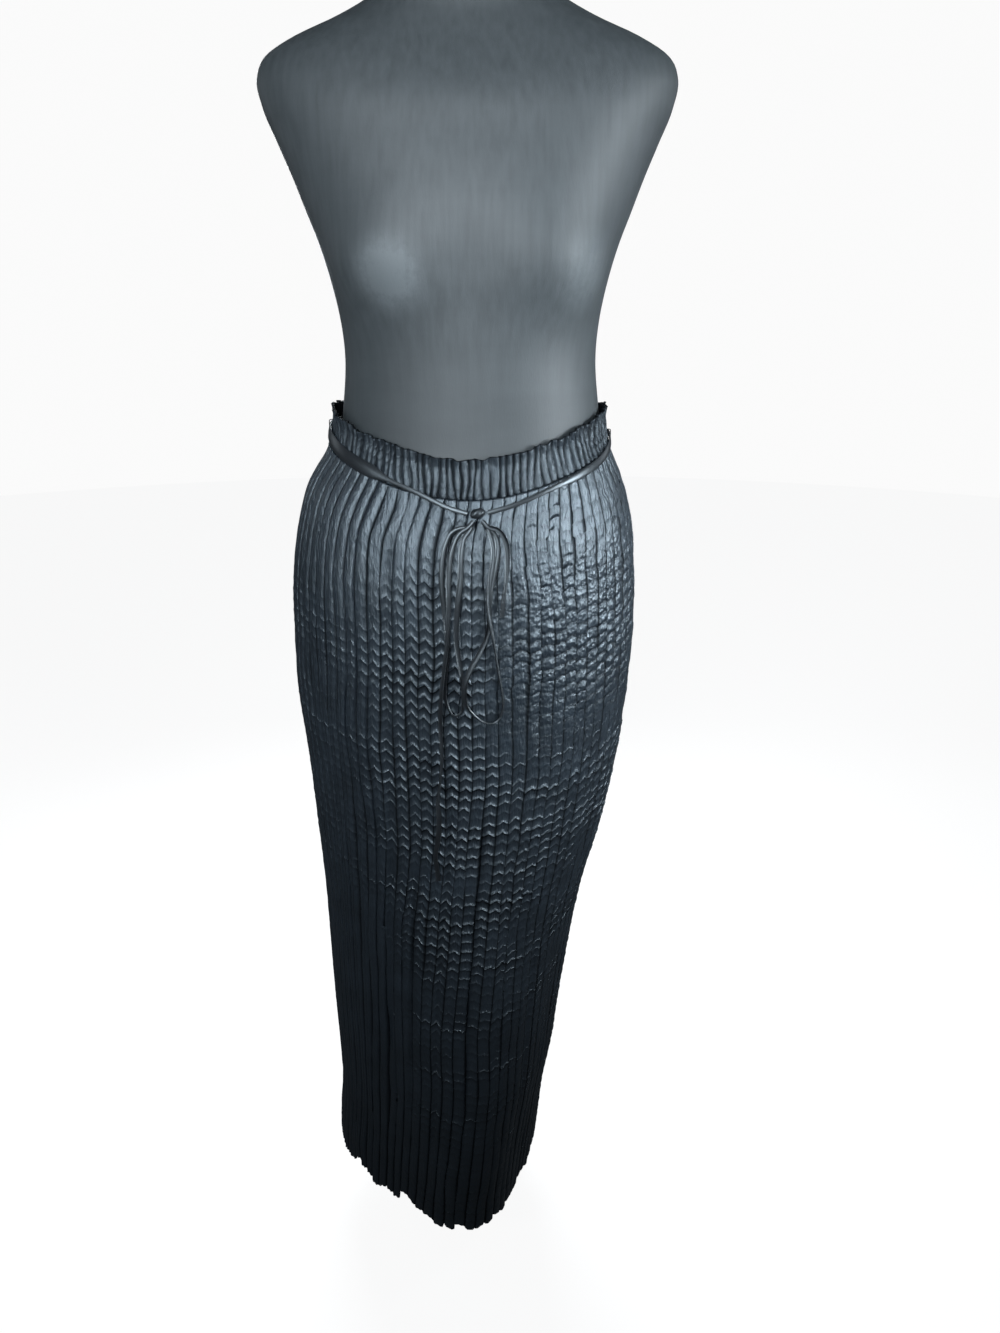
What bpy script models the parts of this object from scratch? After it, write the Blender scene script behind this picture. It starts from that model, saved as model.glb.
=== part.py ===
"""Ankle-length pleated skirt with a gathered waistband and a thin ribbon tie, worn on a limbless dress form.

Metres, +Z up. The front faces -Y and +X is at its right as seen from the front. The origin is at the
middle of the stand's round base, on the surface that it stands on.
"""

import math
from collections import namedtuple

import bmesh
import bpy
import numpy as np
from mathutils import Vector

SEAM_GAP = 0.0003
TAU = 2 * math.pi

# Stand: a round base and a pole, under the skirt
BASE_RADIUS = 0.095
BASE_THICK = 0.012
BASE_BEVEL = 0.002
POLE_RADIUS = 0.0125
STAND_SIDES = 40

# The form's middle, beside the pole
FORM_X = 0.035
FORM_Y = -0.020

# Dress form: its sections, from the underside to the flat top of the neck
FORM_COLUMNS = 36
FormRow = namedtuple("FormRow", "z half_width front back square")
FORM_ROWS = (
    FormRow(0.6600, 0.118, 0.080, 0.084, 2.1),
    FormRow(0.6660, 0.142, 0.102, 0.104, 2.1),
    FormRow(0.6900, 0.155, 0.115, 0.116, 2.1),
    FormRow(0.7300, 0.1605, 0.120, 0.121, 2.1),
    FormRow(0.7700, 0.162, 0.121, 0.122, 2.1),
    FormRow(0.8100, 0.1608, 0.120, 0.120, 2.1),
    FormRow(0.8500, 0.157, 0.117, 0.116, 2.1),
    FormRow(0.8900, 0.1525, 0.112, 0.110, 2.1),
    FormRow(0.9260, 0.1430, 0.105, 0.103, 2.1),
    FormRow(0.9600, 0.1325, 0.099, 0.097, 2.1),
    FormRow(0.9960, 0.1270, 0.0965, 0.092, 2.1),
    FormRow(1.0400, 0.1230, 0.0970, 0.090, 2.1),
    FormRow(1.0780, 0.1260, 0.1010, 0.092, 2.1),
    FormRow(1.1100, 0.1325, 0.1060, 0.098, 2.1),
    FormRow(1.1420, 0.1420, 0.1095, 0.104, 2.15),
    FormRow(1.1670, 0.1515, 0.1095, 0.108, 2.2),
    FormRow(1.1950, 0.1620, 0.105, 0.110, 2.25),
    FormRow(1.2240, 0.1740, 0.098, 0.110, 2.3),
    FormRow(1.2540, 0.1860, 0.090, 0.106, 2.35),
    FormRow(1.2760, 0.1890, 0.080, 0.098, 2.4),
    FormRow(1.2930, 0.1800, 0.071, 0.089, 2.4),
    FormRow(1.3070, 0.1560, 0.064, 0.080, 2.3),
    FormRow(1.3220, 0.1190, 0.058, 0.072, 2.2),
    FormRow(1.3380, 0.0870, 0.055, 0.065, 2.1),
    FormRow(1.3560, 0.0660, 0.053, 0.058, 2.0),
    FormRow(1.3760, 0.0570, 0.052, 0.054, 2.0),
    FormRow(1.4100, 0.0550, 0.052, 0.052, 2.0),
)
BUST_HEIGHT = 1.118
BUST_APART = 0.082
BUST_OUT = 0.015
BUST_SPREAD = 0.044

# Waistband: a gathered casing round the waist, lower in front
GATHERS_PER_PANEL = 56
BAND_HEIGHT = 0.036
BAND_TOP_SIDE = 0.995
BAND_DIP_FRONT = 0.042
BAND_DIP_BACK = 0.010
BAND_DIP_POWER = 1.5
BAND_WALL = 0.0020
BAND_LEFT_LIFT = 0.004
BandRow = namedtuple("BandRow", "up clear depth")
BAND_ROWS = (
    BandRow(0.0, 0.0012, 0.0034),
    BandRow(0.30, 0.0008, 0.0028),
    BandRow(0.74, 0.0009, 0.0028),
    BandRow(1.0, 0.0040, 0.0040),
)
BAND_REACH = BAND_ROWS[0].clear + BAND_ROWS[0].depth + BAND_WALL

# Skirt: the sections through the tops of its pleats
PLEATS_PER_PANEL = 38
SKIRT_WALL = 0.0016
SKIRT_SQUARE = 2.1
SKIRT_LEVELS = (0.0, 0.035, 0.08, 0.14, 0.22, 0.31, 0.42, 0.55, 0.69, 0.84, 1.0)
SkirtRow = namedtuple("SkirtRow", "z centre half_width front back")
SKIRT_ROWS = (
    SkirtRow(0.020, -0.056, 0.126, 0.104, 0.112),
    SkirtRow(0.107, -0.050, 0.129, 0.107, 0.113),
    SkirtRow(0.165, -0.044, 0.129, 0.110, 0.115),
    SkirtRow(0.222, -0.039, 0.134, 0.113, 0.117),
    SkirtRow(0.296, -0.036, 0.139, 0.116, 0.120),
    SkirtRow(0.386, -0.031, 0.145, 0.120, 0.123),
    SkirtRow(0.454, -0.026, 0.151, 0.123, 0.126),
    SkirtRow(0.536, -0.018, 0.1635, 0.127, 0.130),
    SkirtRow(0.624, -0.0125, 0.1745, 0.131, 0.133),
    SkirtRow(0.694, -0.012, 0.181, 0.133, 0.134),
    SkirtRow(0.764, -0.010, 0.182, 0.133, 0.133),
    SkirtRow(0.844, -0.009, 0.177, 0.129, 0.128),
    SkirtRow(0.891, -0.007, 0.169, 0.121, 0.122),
    SkirtRow(0.926, -0.006, 0.158, 0.113, 0.114),
    SkirtRow(0.953, -0.004, 0.146, 0.107, 0.107),
    SkirtRow(0.990, -0.003, 0.140, 0.103, 0.102),
)
EASE_OUT = 0.050
PLEAT_DEPTH_TOP = 0.0032
PLEAT_DEPTH = 0.0056
PLEAT_DEPTH_HEM = 0.0070
EVEN_HEIGHT = 0.764

# The skirt swings forward and to the right of its hem's middle, into a soft point
POINT_ANGLE = math.radians(-69)
POINT_OUT = 0.038
POINT_SPREAD = math.radians(27)
POINT_FROM = 0.62
HEM_SIDE = 0.068
HEM_DIP = 0.037
HEM_SPREAD = math.radians(48)
HEM_UNEVEN = 0.0050

# Ribbon tie
RIBBON_WIDTH = 0.0074
RIBBON_WIDE = 0.0125
RIBBON_ROLLED = 0.0044
BOW_WIDTH = 0.0062
RIBBON_THICK = 0.0010
RIBBON_STEP = 0.0085
TIE_LIFT = 0.0018
KNOT = Vector((0.008, 0.0, 0.9055))
KNOT_SIZE = Vector((0.013, 0.0070, 0.009))
KNOT_BEVEL = 0.0022
KNOT_LIFT = 0.0003
LOOP_THREAD = 0.0006
LOOP_CLEAR = 0.0012
LOOP_OUT = 0.0032

TieRow = namedtuple("TieRow", "angle z width")
TIE_LEFT = (
    TieRow(181.0, 0.9720, RIBBON_WIDE),
    TieRow(196.0, 0.9620, RIBBON_WIDE),
    TieRow(212.0, 0.9490, RIBBON_WIDE),
    TieRow(224.0, 0.9400, RIBBON_WIDE),
    TieRow(233.0, 0.9333, RIBBON_ROLLED),
    TieRow(245.0, 0.9240, RIBBON_ROLLED),
    TieRow(260.0, 0.9110, RIBBON_ROLLED),
    TieRow(269.4, 0.9055, RIBBON_ROLLED),
)
TIE_RIGHT = (
    TieRow(359.0, 0.9650, RIBBON_WIDTH),
    TieRow(342.0, 0.9500, RIBBON_WIDTH),
    TieRow(325.0, 0.9370, RIBBON_WIDTH),
    TieRow(308.0, 0.9250, RIBBON_ROLLED),
    TieRow(292.0, 0.9130, RIBBON_ROLLED),
    TieRow(278.6, 0.9060, RIBBON_ROLLED),
)
TIE_BACK = (
    TieRow(1.0, 0.9650, RIBBON_WIDTH),
    TieRow(45.0, 0.9560, RIBBON_WIDTH),
    TieRow(90.0, 0.9520, RIBBON_WIDTH),
    TieRow(135.0, 0.9600, RIBBON_WIDTH),
    TieRow(179.0, 0.9720, RIBBON_WIDE),
)

# Bow: its loops and tails in front of the skirt, each point with its lift off the pleats
BowRow = namedtuple("BowRow", "x z lift")
LOOP_LEFT = (
    BowRow(0.0045, 0.8986, 0.0016),
    BowRow(0.0025, 0.8945, 0.0016),
    BowRow(-0.006, 0.8925, 0.0016),
    BowRow(-0.014, 0.8900, 0.0016),
    BowRow(-0.019, 0.8820, 0.0014),
    BowRow(-0.023, 0.8680, 0.0014),
    BowRow(-0.025, 0.8480, 0.0014),
    BowRow(-0.024, 0.8260, 0.0014),
    BowRow(-0.022, 0.8030, 0.0014),
    BowRow(-0.021, 0.7790, 0.0014),
    BowRow(-0.023, 0.7600, 0.0014),
    BowRow(-0.024, 0.7440, 0.0014),
    BowRow(-0.023, 0.7280, 0.0015),
    BowRow(-0.018, 0.7150, 0.0018),
    BowRow(-0.012, 0.7120, 0.0022),
    BowRow(-0.008, 0.7190, 0.0026),
    BowRow(-0.007, 0.7340, 0.0029),
    BowRow(-0.008, 0.7500, 0.0031),
    BowRow(-0.010, 0.7660, 0.0032),
    BowRow(-0.012, 0.7850, 0.0033),
    BowRow(-0.012, 0.8060, 0.0034),
    BowRow(-0.010, 0.8270, 0.0034),
    BowRow(-0.008, 0.8480, 0.0034),
    BowRow(-0.008, 0.8660, 0.0034),
    BowRow(-0.005, 0.8830, 0.0034),
    BowRow(0.0025, 0.8925, 0.0034),
    BowRow(0.0045, 0.8986, 0.0034),
)
LOOP_RIGHT = (
    BowRow(0.0125, 0.8986, 0.0016),
    BowRow(0.0145, 0.8945, 0.0016),
    BowRow(0.0200, 0.8910, 0.0016),
    BowRow(0.0250, 0.8850, 0.0014),
    BowRow(0.0270, 0.8750, 0.0014),
    BowRow(0.0260, 0.8620, 0.0014),
    BowRow(0.0230, 0.8500, 0.0014),
    BowRow(0.0200, 0.8360, 0.0014),
    BowRow(0.0185, 0.8190, 0.0016),
    BowRow(0.0180, 0.8030, 0.0020),
    BowRow(0.0150, 0.7890, 0.0028),
    BowRow(0.0080, 0.7740, 0.0038),
    BowRow(0.0010, 0.7610, 0.0046),
    BowRow(-0.004, 0.7480, 0.0050),
    BowRow(-0.005, 0.7350, 0.0050),
    BowRow(-0.003, 0.7230, 0.0048),
    BowRow(0.0040, 0.7130, 0.0042),
    BowRow(0.0120, 0.7060, 0.0034),
    BowRow(0.0190, 0.7030, 0.0028),
    BowRow(0.0265, 0.7060, 0.0024),
    BowRow(0.0305, 0.7150, 0.0024),
    BowRow(0.0310, 0.7270, 0.0024),
    BowRow(0.0290, 0.7410, 0.0026),
    BowRow(0.0255, 0.7620, 0.0030),
    BowRow(0.0220, 0.7850, 0.0034),
    BowRow(0.0185, 0.8070, 0.0036),
    BowRow(0.0170, 0.8260, 0.0036),
    BowRow(0.0185, 0.8460, 0.0034),
    BowRow(0.0215, 0.8630, 0.0034),
    BowRow(0.0215, 0.8770, 0.0034),
    BowRow(0.0180, 0.8890, 0.0034),
    BowRow(0.0125, 0.8986, 0.0034),
)
TAIL_LEFT = (
    BowRow(0.0045, 0.8986, 0.0052),
    BowRow(0.0015, 0.8940, 0.0052),
    BowRow(-0.008, 0.8880, 0.0052),
    BowRow(-0.015, 0.8730, 0.0052),
    BowRow(-0.019, 0.8440, 0.0052),
    BowRow(-0.019, 0.8150, 0.0052),
    BowRow(-0.021, 0.7850, 0.0052),
    BowRow(-0.024, 0.7590, 0.0052),
    BowRow(-0.027, 0.7330, 0.0050),
    BowRow(-0.029, 0.7010, 0.0030),
    BowRow(-0.029, 0.6680, 0.0018),
    BowRow(-0.031, 0.6410, 0.0016),
    BowRow(-0.034, 0.6180, 0.0016),
    BowRow(-0.033, 0.5950, 0.0016),
    BowRow(-0.034, 0.5720, 0.0016),
    BowRow(-0.037, 0.5540, 0.0016),
    BowRow(-0.036, 0.5370, 0.0016),
    BowRow(-0.035, 0.5230, 0.0016),
)
TAIL_RIGHT = (
    BowRow(0.0125, 0.8986, 0.0052),
    BowRow(0.0150, 0.8940, 0.0052),
    BowRow(0.0240, 0.8920, 0.0052),
    BowRow(0.0300, 0.8870, 0.0052),
    BowRow(0.0340, 0.8780, 0.0050),
    BowRow(0.0350, 0.8620, 0.0046),
    BowRow(0.0335, 0.8440, 0.0044),
    BowRow(0.0310, 0.8260, 0.0044),
    BowRow(0.0300, 0.8100, 0.0044),
)


def clear_scene():
    for item in list(bpy.data.objects):
        bpy.data.objects.remove(item, do_unlink=True)


def make_material(name, colour, roughness, metallic=0.0):
    material = bpy.data.materials.new(name)
    material.use_nodes = True
    shader = material.node_tree.nodes["Principled BSDF"]
    shader.inputs["Base Color"].default_value = (*colour, 1.0)
    shader.inputs["Roughness"].default_value = roughness
    shader.inputs["Metallic"].default_value = metallic
    return material


def smooth_column(rows, name):
    """A function of height that runs smoothly through one column of a table."""
    height = np.array([row.z for row in rows])
    value = np.array([getattr(row, name) for row in rows])
    slope = np.gradient(value, height)

    def at(z):
        z = np.clip(z, height[0], height[-1])
        low = np.clip(np.searchsorted(height, z, side="right") - 1, 0, len(height) - 2)
        span = height[low + 1] - height[low]
        t = (z - height[low]) / span
        start = (1 + 2 * t) * (1 - t) ** 2 * value[low] + t * (1 - t) ** 2 * span * slope[low]
        end = t * t * (3 - 2 * t) * value[low + 1] + t * t * (t - 1) * span * slope[low + 1]
        return start + end

    return at


def columns_of(rows):
    return {name: smooth_column(rows, name) for name in rows[0]._fields if name != "z"}


FORM = columns_of(FORM_ROWS)
SKIRT = columns_of(SKIRT_ROWS)


def ease(t):
    t = np.clip(t, 0.0, 1.0)
    return t * t * (3 - 2 * t)


def oval_radius(angle, half_width, front, back, square):
    """Distance from the middle to a rounded oval that is as deep in front and behind as it is told."""
    depth = np.where(np.sin(angle) < 0, front, back)
    across = np.abs(np.cos(angle) / half_width) ** square
    along = np.abs(np.sin(angle) / depth) ** square
    return (across + along) ** (-1 / square)


def turn_between(angle, target):
    """The angle from the target, wrapped to half a turn each way."""
    return (angle - target + math.pi) % TAU - math.pi


def form_radius(angle, z):
    plain = oval_radius(angle, FORM["half_width"](z), FORM["front"](z), FORM["back"](z), FORM["square"](z))
    x = plain * np.cos(angle)
    beside = (np.abs(x) - BUST_APART) / BUST_SPREAD
    above = (z - BUST_HEIGHT) / BUST_SPREAD
    facing = ease(-1.6 * np.sin(angle))
    return plain + BUST_OUT * facing * np.exp(-beside**2 - above**2)


def skirt_oval(angle, z):
    """The skirt's ridges, as a distance from the middle of its section."""
    plain = oval_radius(angle, SKIRT["half_width"](z), SKIRT["front"](z), SKIRT["back"](z), SKIRT_SQUARE)
    towards = np.exp(-((turn_between(angle, POINT_ANGLE) / POINT_SPREAD) ** 2))
    return plain + POINT_OUT * towards * ease((POINT_FROM - z) / POINT_FROM)


def form_plan(angle, z):
    radius = form_radius(angle, z)
    return radius * np.cos(angle), radius * np.sin(angle)


def hanging_plan(angle, z):
    radius = skirt_oval(angle, z)
    return SKIRT["centre"](z) + radius * np.cos(angle), radius * np.sin(angle)


def skirt_plan(angle, z):
    """The skirt's ridges, which start at the casing's lower edge and ease out to the hanging section."""
    seam = band_top(angle) - BAND_HEIGHT
    x, y = hanging_plan(angle, z)
    seam_x, seam_y = hanging_plan(angle, seam)
    form_x, form_y = form_plan(angle, seam)
    reach = 1 + (BAND_REACH + band_lift(angle)) / np.hypot(form_x, form_y)
    keep = 1 - ease((seam - z) / EASE_OUT)
    return x + keep * (form_x * reach - seam_x), y + keep * (form_y * reach - seam_y)


def points_on(plan, angle, z, out):
    """Points on a plan's curve at each angle and height, moved out square to the curve."""
    step = 1e-4
    x, y = plan(angle, z)
    ahead_x, ahead_y = plan(angle + step, z)
    behind_x, behind_y = plan(angle - step, z)
    run_x, run_y = ahead_x - behind_x, ahead_y - behind_y
    length = np.hypot(run_x, run_y)
    x = x + out * run_y / length + FORM_X
    y = y - out * run_x / length + FORM_Y
    return np.stack(np.broadcast_arrays(x, y, z), axis=-1)


def even_angles(plan, z, start, end, count):
    """Angles that part the plan's curve between start and end into stretches of one length."""
    angle = np.linspace(start, end, 721)
    x, y = plan(angle, np.full_like(angle, z))
    run = np.concatenate([[0.0], np.cumsum(np.hypot(np.diff(x), np.diff(y)))])
    angles = np.interp(np.linspace(0, run[-1], count + 1), run, angle)
    half_gap = SEAM_GAP / 2 * (end - start) / run[-1] * 1.3
    angles[0] += half_gap
    angles[-1] -= half_gap
    return angles


def fold(count):
    """One for a ridge, nought for a valley, and a half at each end."""
    wave = np.array([0.5 - 0.5 * math.cos(math.pi * i) for i in range(count + 1)])
    wave[0] = 0.5
    wave[-1] = 0.5
    return wave


def band_top(angle):
    forward = np.maximum(-np.sin(angle), 0.0) ** BAND_DIP_POWER
    backward = np.maximum(np.sin(angle), 0.0) ** BAND_DIP_POWER
    return BAND_TOP_SIDE - BAND_DIP_FRONT * forward - BAND_DIP_BACK * backward


def band_lift(angle):
    """How much further the casing stands off the form at its left seam."""
    return BAND_LEFT_LIFT * np.maximum(-np.cos(angle), 0.0) ** 3


def hem_height(angle):
    """The hem's height, with bundles of pleats that hang unevenly."""
    towards = np.exp(-((turn_between(angle, POINT_ANGLE) / HEM_SPREAD) ** 2))
    bundles = np.sin(13 * angle + 1.9) + 0.7 * np.sin(23 * angle + 0.4) + 0.5 * np.sin(37 * angle)
    return HEM_SIDE - HEM_DIP * towards + HEM_UNEVEN * bundles / 2


def new_object(name, mesh, material, smooth_degrees=40):
    mesh.materials.append(material)
    mesh.shade_smooth()
    mesh.set_sharp_from_angle(angle=math.radians(smooth_degrees))
    item = bpy.data.objects.new(name, mesh)
    bpy.context.scene.collection.objects.link(item)
    return item


def mesh_of(name, points, faces):
    shape = bmesh.new()
    corners = [shape.verts.new(point) for point in points]
    for face in faces:
        shape.faces.new([corners[i] for i in face])
    bmesh.ops.recalc_face_normals(shape, faces=shape.faces)
    mesh = bpy.data.meshes.new(name)
    shape.to_mesh(mesh)
    shape.free()
    return mesh


def wall(name, outer, inner, material):
    """A closed wall between two grids of points, in rows from the bottom up."""
    rows, columns = outer.shape[:2]
    points = np.concatenate([outer.reshape(-1, 3), inner.reshape(-1, 3)])

    def at(side, row, column):
        return side * rows * columns + row * columns + column

    faces = []
    for row in range(rows - 1):
        for column in range(columns - 1):
            ring = ((row, column), (row, column + 1), (row + 1, column + 1), (row + 1, column))
            faces.append([at(0, *corner) for corner in ring])
            faces.append([at(1, *corner) for corner in reversed(ring)])
    for row in (0, rows - 1):
        for c in range(columns - 1):
            faces.append((at(0, row, c), at(1, row, c), at(1, row, c + 1), at(0, row, c + 1)))
    for column in (0, columns - 1):
        for r in range(rows - 1):
            faces.append((at(0, r, column), at(0, r + 1, column), at(1, r + 1, column), at(1, r, column)))
    return new_object(name, mesh_of(name, points, faces), material)


def make_skirt_panel(name, start, end, material):
    count = 2 * PLEATS_PER_PANEL
    angle = even_angles(skirt_plan, EVEN_HEIGHT, start, end, count)
    seam = band_top(angle) - BAND_HEIGHT - SEAM_GAP
    hem = hem_height(angle)
    down = np.array(SKIRT_LEVELS[::-1])[:, None]
    z = seam + (hem - seam) * down
    depth = PLEAT_DEPTH_TOP + (PLEAT_DEPTH - PLEAT_DEPTH_TOP) * ease(down / 0.08)
    depth = depth + (PLEAT_DEPTH_HEM - PLEAT_DEPTH) * ease((down - 0.5) / 0.5)
    inset = depth * (1 - fold(count))
    angle = np.broadcast_to(angle, z.shape)
    outer = points_on(skirt_plan, angle, z, -inset)
    inner = points_on(skirt_plan, angle, z, -inset - SKIRT_WALL)
    return wall(name, outer, inner, material)


def make_band_panel(name, start, end, material):
    count = 2 * GATHERS_PER_PANEL
    angle = even_angles(form_plan, BAND_TOP_SIDE, start, end, count)
    up = np.array([row.up for row in BAND_ROWS])[:, None]
    clear = np.array([row.clear for row in BAND_ROWS])[:, None] + band_lift(angle)
    depth = np.array([row.depth for row in BAND_ROWS])[:, None]
    z = band_top(angle) - BAND_HEIGHT * (1 - up)
    angle = np.broadcast_to(angle, z.shape)
    inside = clear + depth * fold(count)
    outer = points_on(form_plan, angle, z, inside + BAND_WALL)
    inner = points_on(form_plan, angle, z, inside)
    return wall(name, outer, inner, material)


def make_form(material):
    angle = np.linspace(0, TAU, FORM_COLUMNS, endpoint=False)
    z = np.array([row.z for row in FORM_ROWS])[:, None] * np.ones(FORM_COLUMNS)
    rings = points_on(form_plan, np.broadcast_to(angle, z.shape), z, 0.0)
    faces = []
    for row in range(len(FORM_ROWS) - 1):
        for column in range(FORM_COLUMNS):
            after = (column + 1) % FORM_COLUMNS
            low, high = row * FORM_COLUMNS, (row + 1) * FORM_COLUMNS
            faces.append((low + column, low + after, high + after, high + column))
    faces.append(tuple(range(FORM_COLUMNS))[::-1])
    faces.append(tuple(range((len(FORM_ROWS) - 1) * FORM_COLUMNS, len(FORM_ROWS) * FORM_COLUMNS)))
    return new_object("dress_form", mesh_of("dress_form", rings.reshape(-1, 3), faces), material)


def ridge_plan(angle, z):
    """The outermost of the casing's and the skirt's ridges."""
    form_x, form_y = form_plan(angle, z)
    band = np.hypot(form_x, form_y) + BAND_REACH + band_lift(angle)
    skirt = np.hypot(*skirt_plan(angle, z))
    band = np.where(z > band_top(angle) - BAND_HEIGHT - SEAM_GAP, band, 0.0)
    radius = np.maximum(band, skirt)
    return radius * np.cos(angle), radius * np.sin(angle)


def ridge_frame(angle, z):
    """Points on the ridges' cover, and the directions square to it."""
    step_angle, step_z = 0.02, 0.004
    around = points_on(ridge_plan, angle + step_angle, z, 0.0) - points_on(ridge_plan, angle - step_angle, z, 0.0)
    upward = points_on(ridge_plan, angle, z + step_z, 0.0) - points_on(ridge_plan, angle, z - step_z, 0.0)
    normal = np.cross(around, upward)
    normal = normal / np.linalg.norm(normal, axis=-1, keepdims=True)
    return points_on(ridge_plan, angle, z, 0.0), normal


def through(points, step):
    """Points at an even step along a smooth curve through the given ones."""
    points = np.asarray(points, float)
    padded = np.concatenate([[2 * points[0] - points[1]], points, [2 * points[-1] - points[-2]]])
    fine = []
    for i in range(1, len(padded) - 2):
        before, start, end, after = padded[i - 1 : i + 3]
        for t in np.linspace(0, 1, 12, endpoint=False):
            bend = (2 * before - 5 * start + 4 * end - after) * t * t + (3 * start - before - 3 * end + after) * t**3
            fine.append(start + 0.5 * ((end - before) * t + bend))
    fine.append(points[-1])
    fine = np.array(fine)
    run = np.concatenate([[0.0], np.cumsum(np.linalg.norm(np.diff(fine[:, :3], axis=0), axis=1))])
    wanted = np.linspace(0, run[-1], max(2, round(run[-1] / step)) + 1)
    return np.stack([np.interp(wanted, run, column) for column in fine.T], axis=1)


def ribbon(name, centres, normals, widths, material):
    """A flat strip along a path, its broad side square to the normals."""
    along = np.gradient(centres, axis=0)
    across = np.cross(normals, along)
    across = across / np.linalg.norm(across, axis=1, keepdims=True)
    normals = np.cross(along, across)
    normals = normals / np.linalg.norm(normals, axis=1, keepdims=True)
    half = across * np.asarray(widths)[:, None] / 2
    thick = normals * RIBBON_THICK / 2
    rings = np.stack([centres - half - thick, centres + half - thick, centres + half + thick, centres - half + thick], axis=1)
    count = len(centres)
    faces = [(0, 1, 2, 3), tuple(4 * (count - 1) + k for k in (3, 2, 1, 0))]
    for i in range(count - 1):
        for k in range(4):
            after = (k + 1) % 4
            faces.append((4 * i + k, 4 * i + after, 4 * i + 4 + after, 4 * i + 4 + k))
    return new_object(name, mesh_of(name, rings.reshape(-1, 3), faces), material)


def tie_path(rows):
    """A tie's middle line on the ridges, with its widths."""
    angle = np.radians([row.angle for row in rows])
    z = np.array([row.z for row in rows])
    cover, _ = ridge_frame(angle, z)
    table = np.column_stack([cover, angle, z, [row.width for row in rows]])
    path = through(table, RIBBON_STEP)
    cover, normal = ridge_frame(path[:, 3], path[:, 4])
    return cover + normal * TIE_LIFT, normal, path[:, 5]


def front_angle(x, z):
    """The angle at which the skirt's front lies at a given distance to the right of the form's middle."""
    low, high = np.full_like(x, -math.pi + 0.2), np.full_like(x, -0.2)
    for _ in range(40):
        middle = (low + high) / 2
        short = ridge_plan(middle, z)[0] < x
        low, high = np.where(short, middle, low), np.where(short, high, middle)
    return (low + high) / 2


def bow_path(rows):
    """A bow strand's middle line, lifted off the skirt's front."""
    path = through([(row.x, row.lift, row.z) for row in rows], RIBBON_STEP)
    x, lift, z = path.T
    cover, normal = ridge_frame(front_angle(x, z), z)
    return cover + normal * lift[:, None], normal


def make_knot(material):
    x, z = np.array([KNOT.x]), np.array([KNOT.z])
    cover, normal = ridge_frame(front_angle(x, z), z)
    shape = bmesh.new()
    bmesh.ops.create_cube(shape, size=1.0)
    bmesh.ops.scale(shape, vec=KNOT_SIZE, verts=shape.verts)
    bmesh.ops.bevel(shape, geom=shape.edges[:], offset=KNOT_BEVEL, segments=2, profile=0.6, affect="EDGES")
    mesh = bpy.data.meshes.new("bow_knot")
    shape.to_mesh(mesh)
    shape.free()
    knot = new_object("bow_knot", mesh, material)
    outward = Vector(normal[0])
    knot.rotation_euler = outward.to_track_quat("-Y", "Z").to_euler()
    knot.location = Vector(cover[0]) + outward * (KNOT_LIFT + KNOT_SIZE.y / 2)
    return knot


def make_carrier(name, angle, row, material):
    """A thread loop that holds the tie at a side seam."""
    cover, normal = ridge_frame(np.array([angle]), np.array([row.z]))
    half_height = row.width / 2 + LOOP_CLEAR
    outward = Vector((normal[0][0], normal[0][1], 0)).normalized()
    middle = Vector(cover[0])
    curve = bpy.data.curves.new(name, "CURVE")
    curve.dimensions = "3D"
    curve.bevel_depth = LOOP_THREAD
    curve.bevel_resolution = 1
    curve.use_fill_caps = True
    spline = curve.splines.new("POLY")
    bend = [(-1.0, 0.25), (-0.96, 0.72), (-0.75, 1.0), (0.0, 1.0), (0.75, 1.0), (0.96, 0.72), (1.0, 0.25)]
    spline.points.add(len(bend) - 1)
    for point, (up, out) in zip(spline.points, bend):
        place = middle + Vector((0, 0, up * half_height)) + outward * (out * LOOP_OUT)
        point.co = (*place, 1.0)
    curve.materials.append(material)
    loop = bpy.data.objects.new(name, curve)
    bpy.context.scene.collection.objects.link(loop)
    return loop


def make_disc(name, radius, bottom, top, bevel, material):
    shape = bmesh.new()
    bmesh.ops.create_cone(
        shape, cap_ends=True, segments=STAND_SIDES, radius1=radius, radius2=radius, depth=top - bottom
    )
    bmesh.ops.translate(shape, vec=(0, 0, (top + bottom) / 2), verts=shape.verts)
    rim = [edge for edge in shape.edges if all(vertex.co.z > top - 1e-6 for vertex in edge.verts)]
    if bevel:
        bmesh.ops.bevel(shape, geom=rim, offset=bevel, segments=2, profile=0.5, affect="EDGES")
    mesh = bpy.data.meshes.new(name)
    shape.to_mesh(mesh)
    shape.free()
    return new_object(name, mesh, material)


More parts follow.
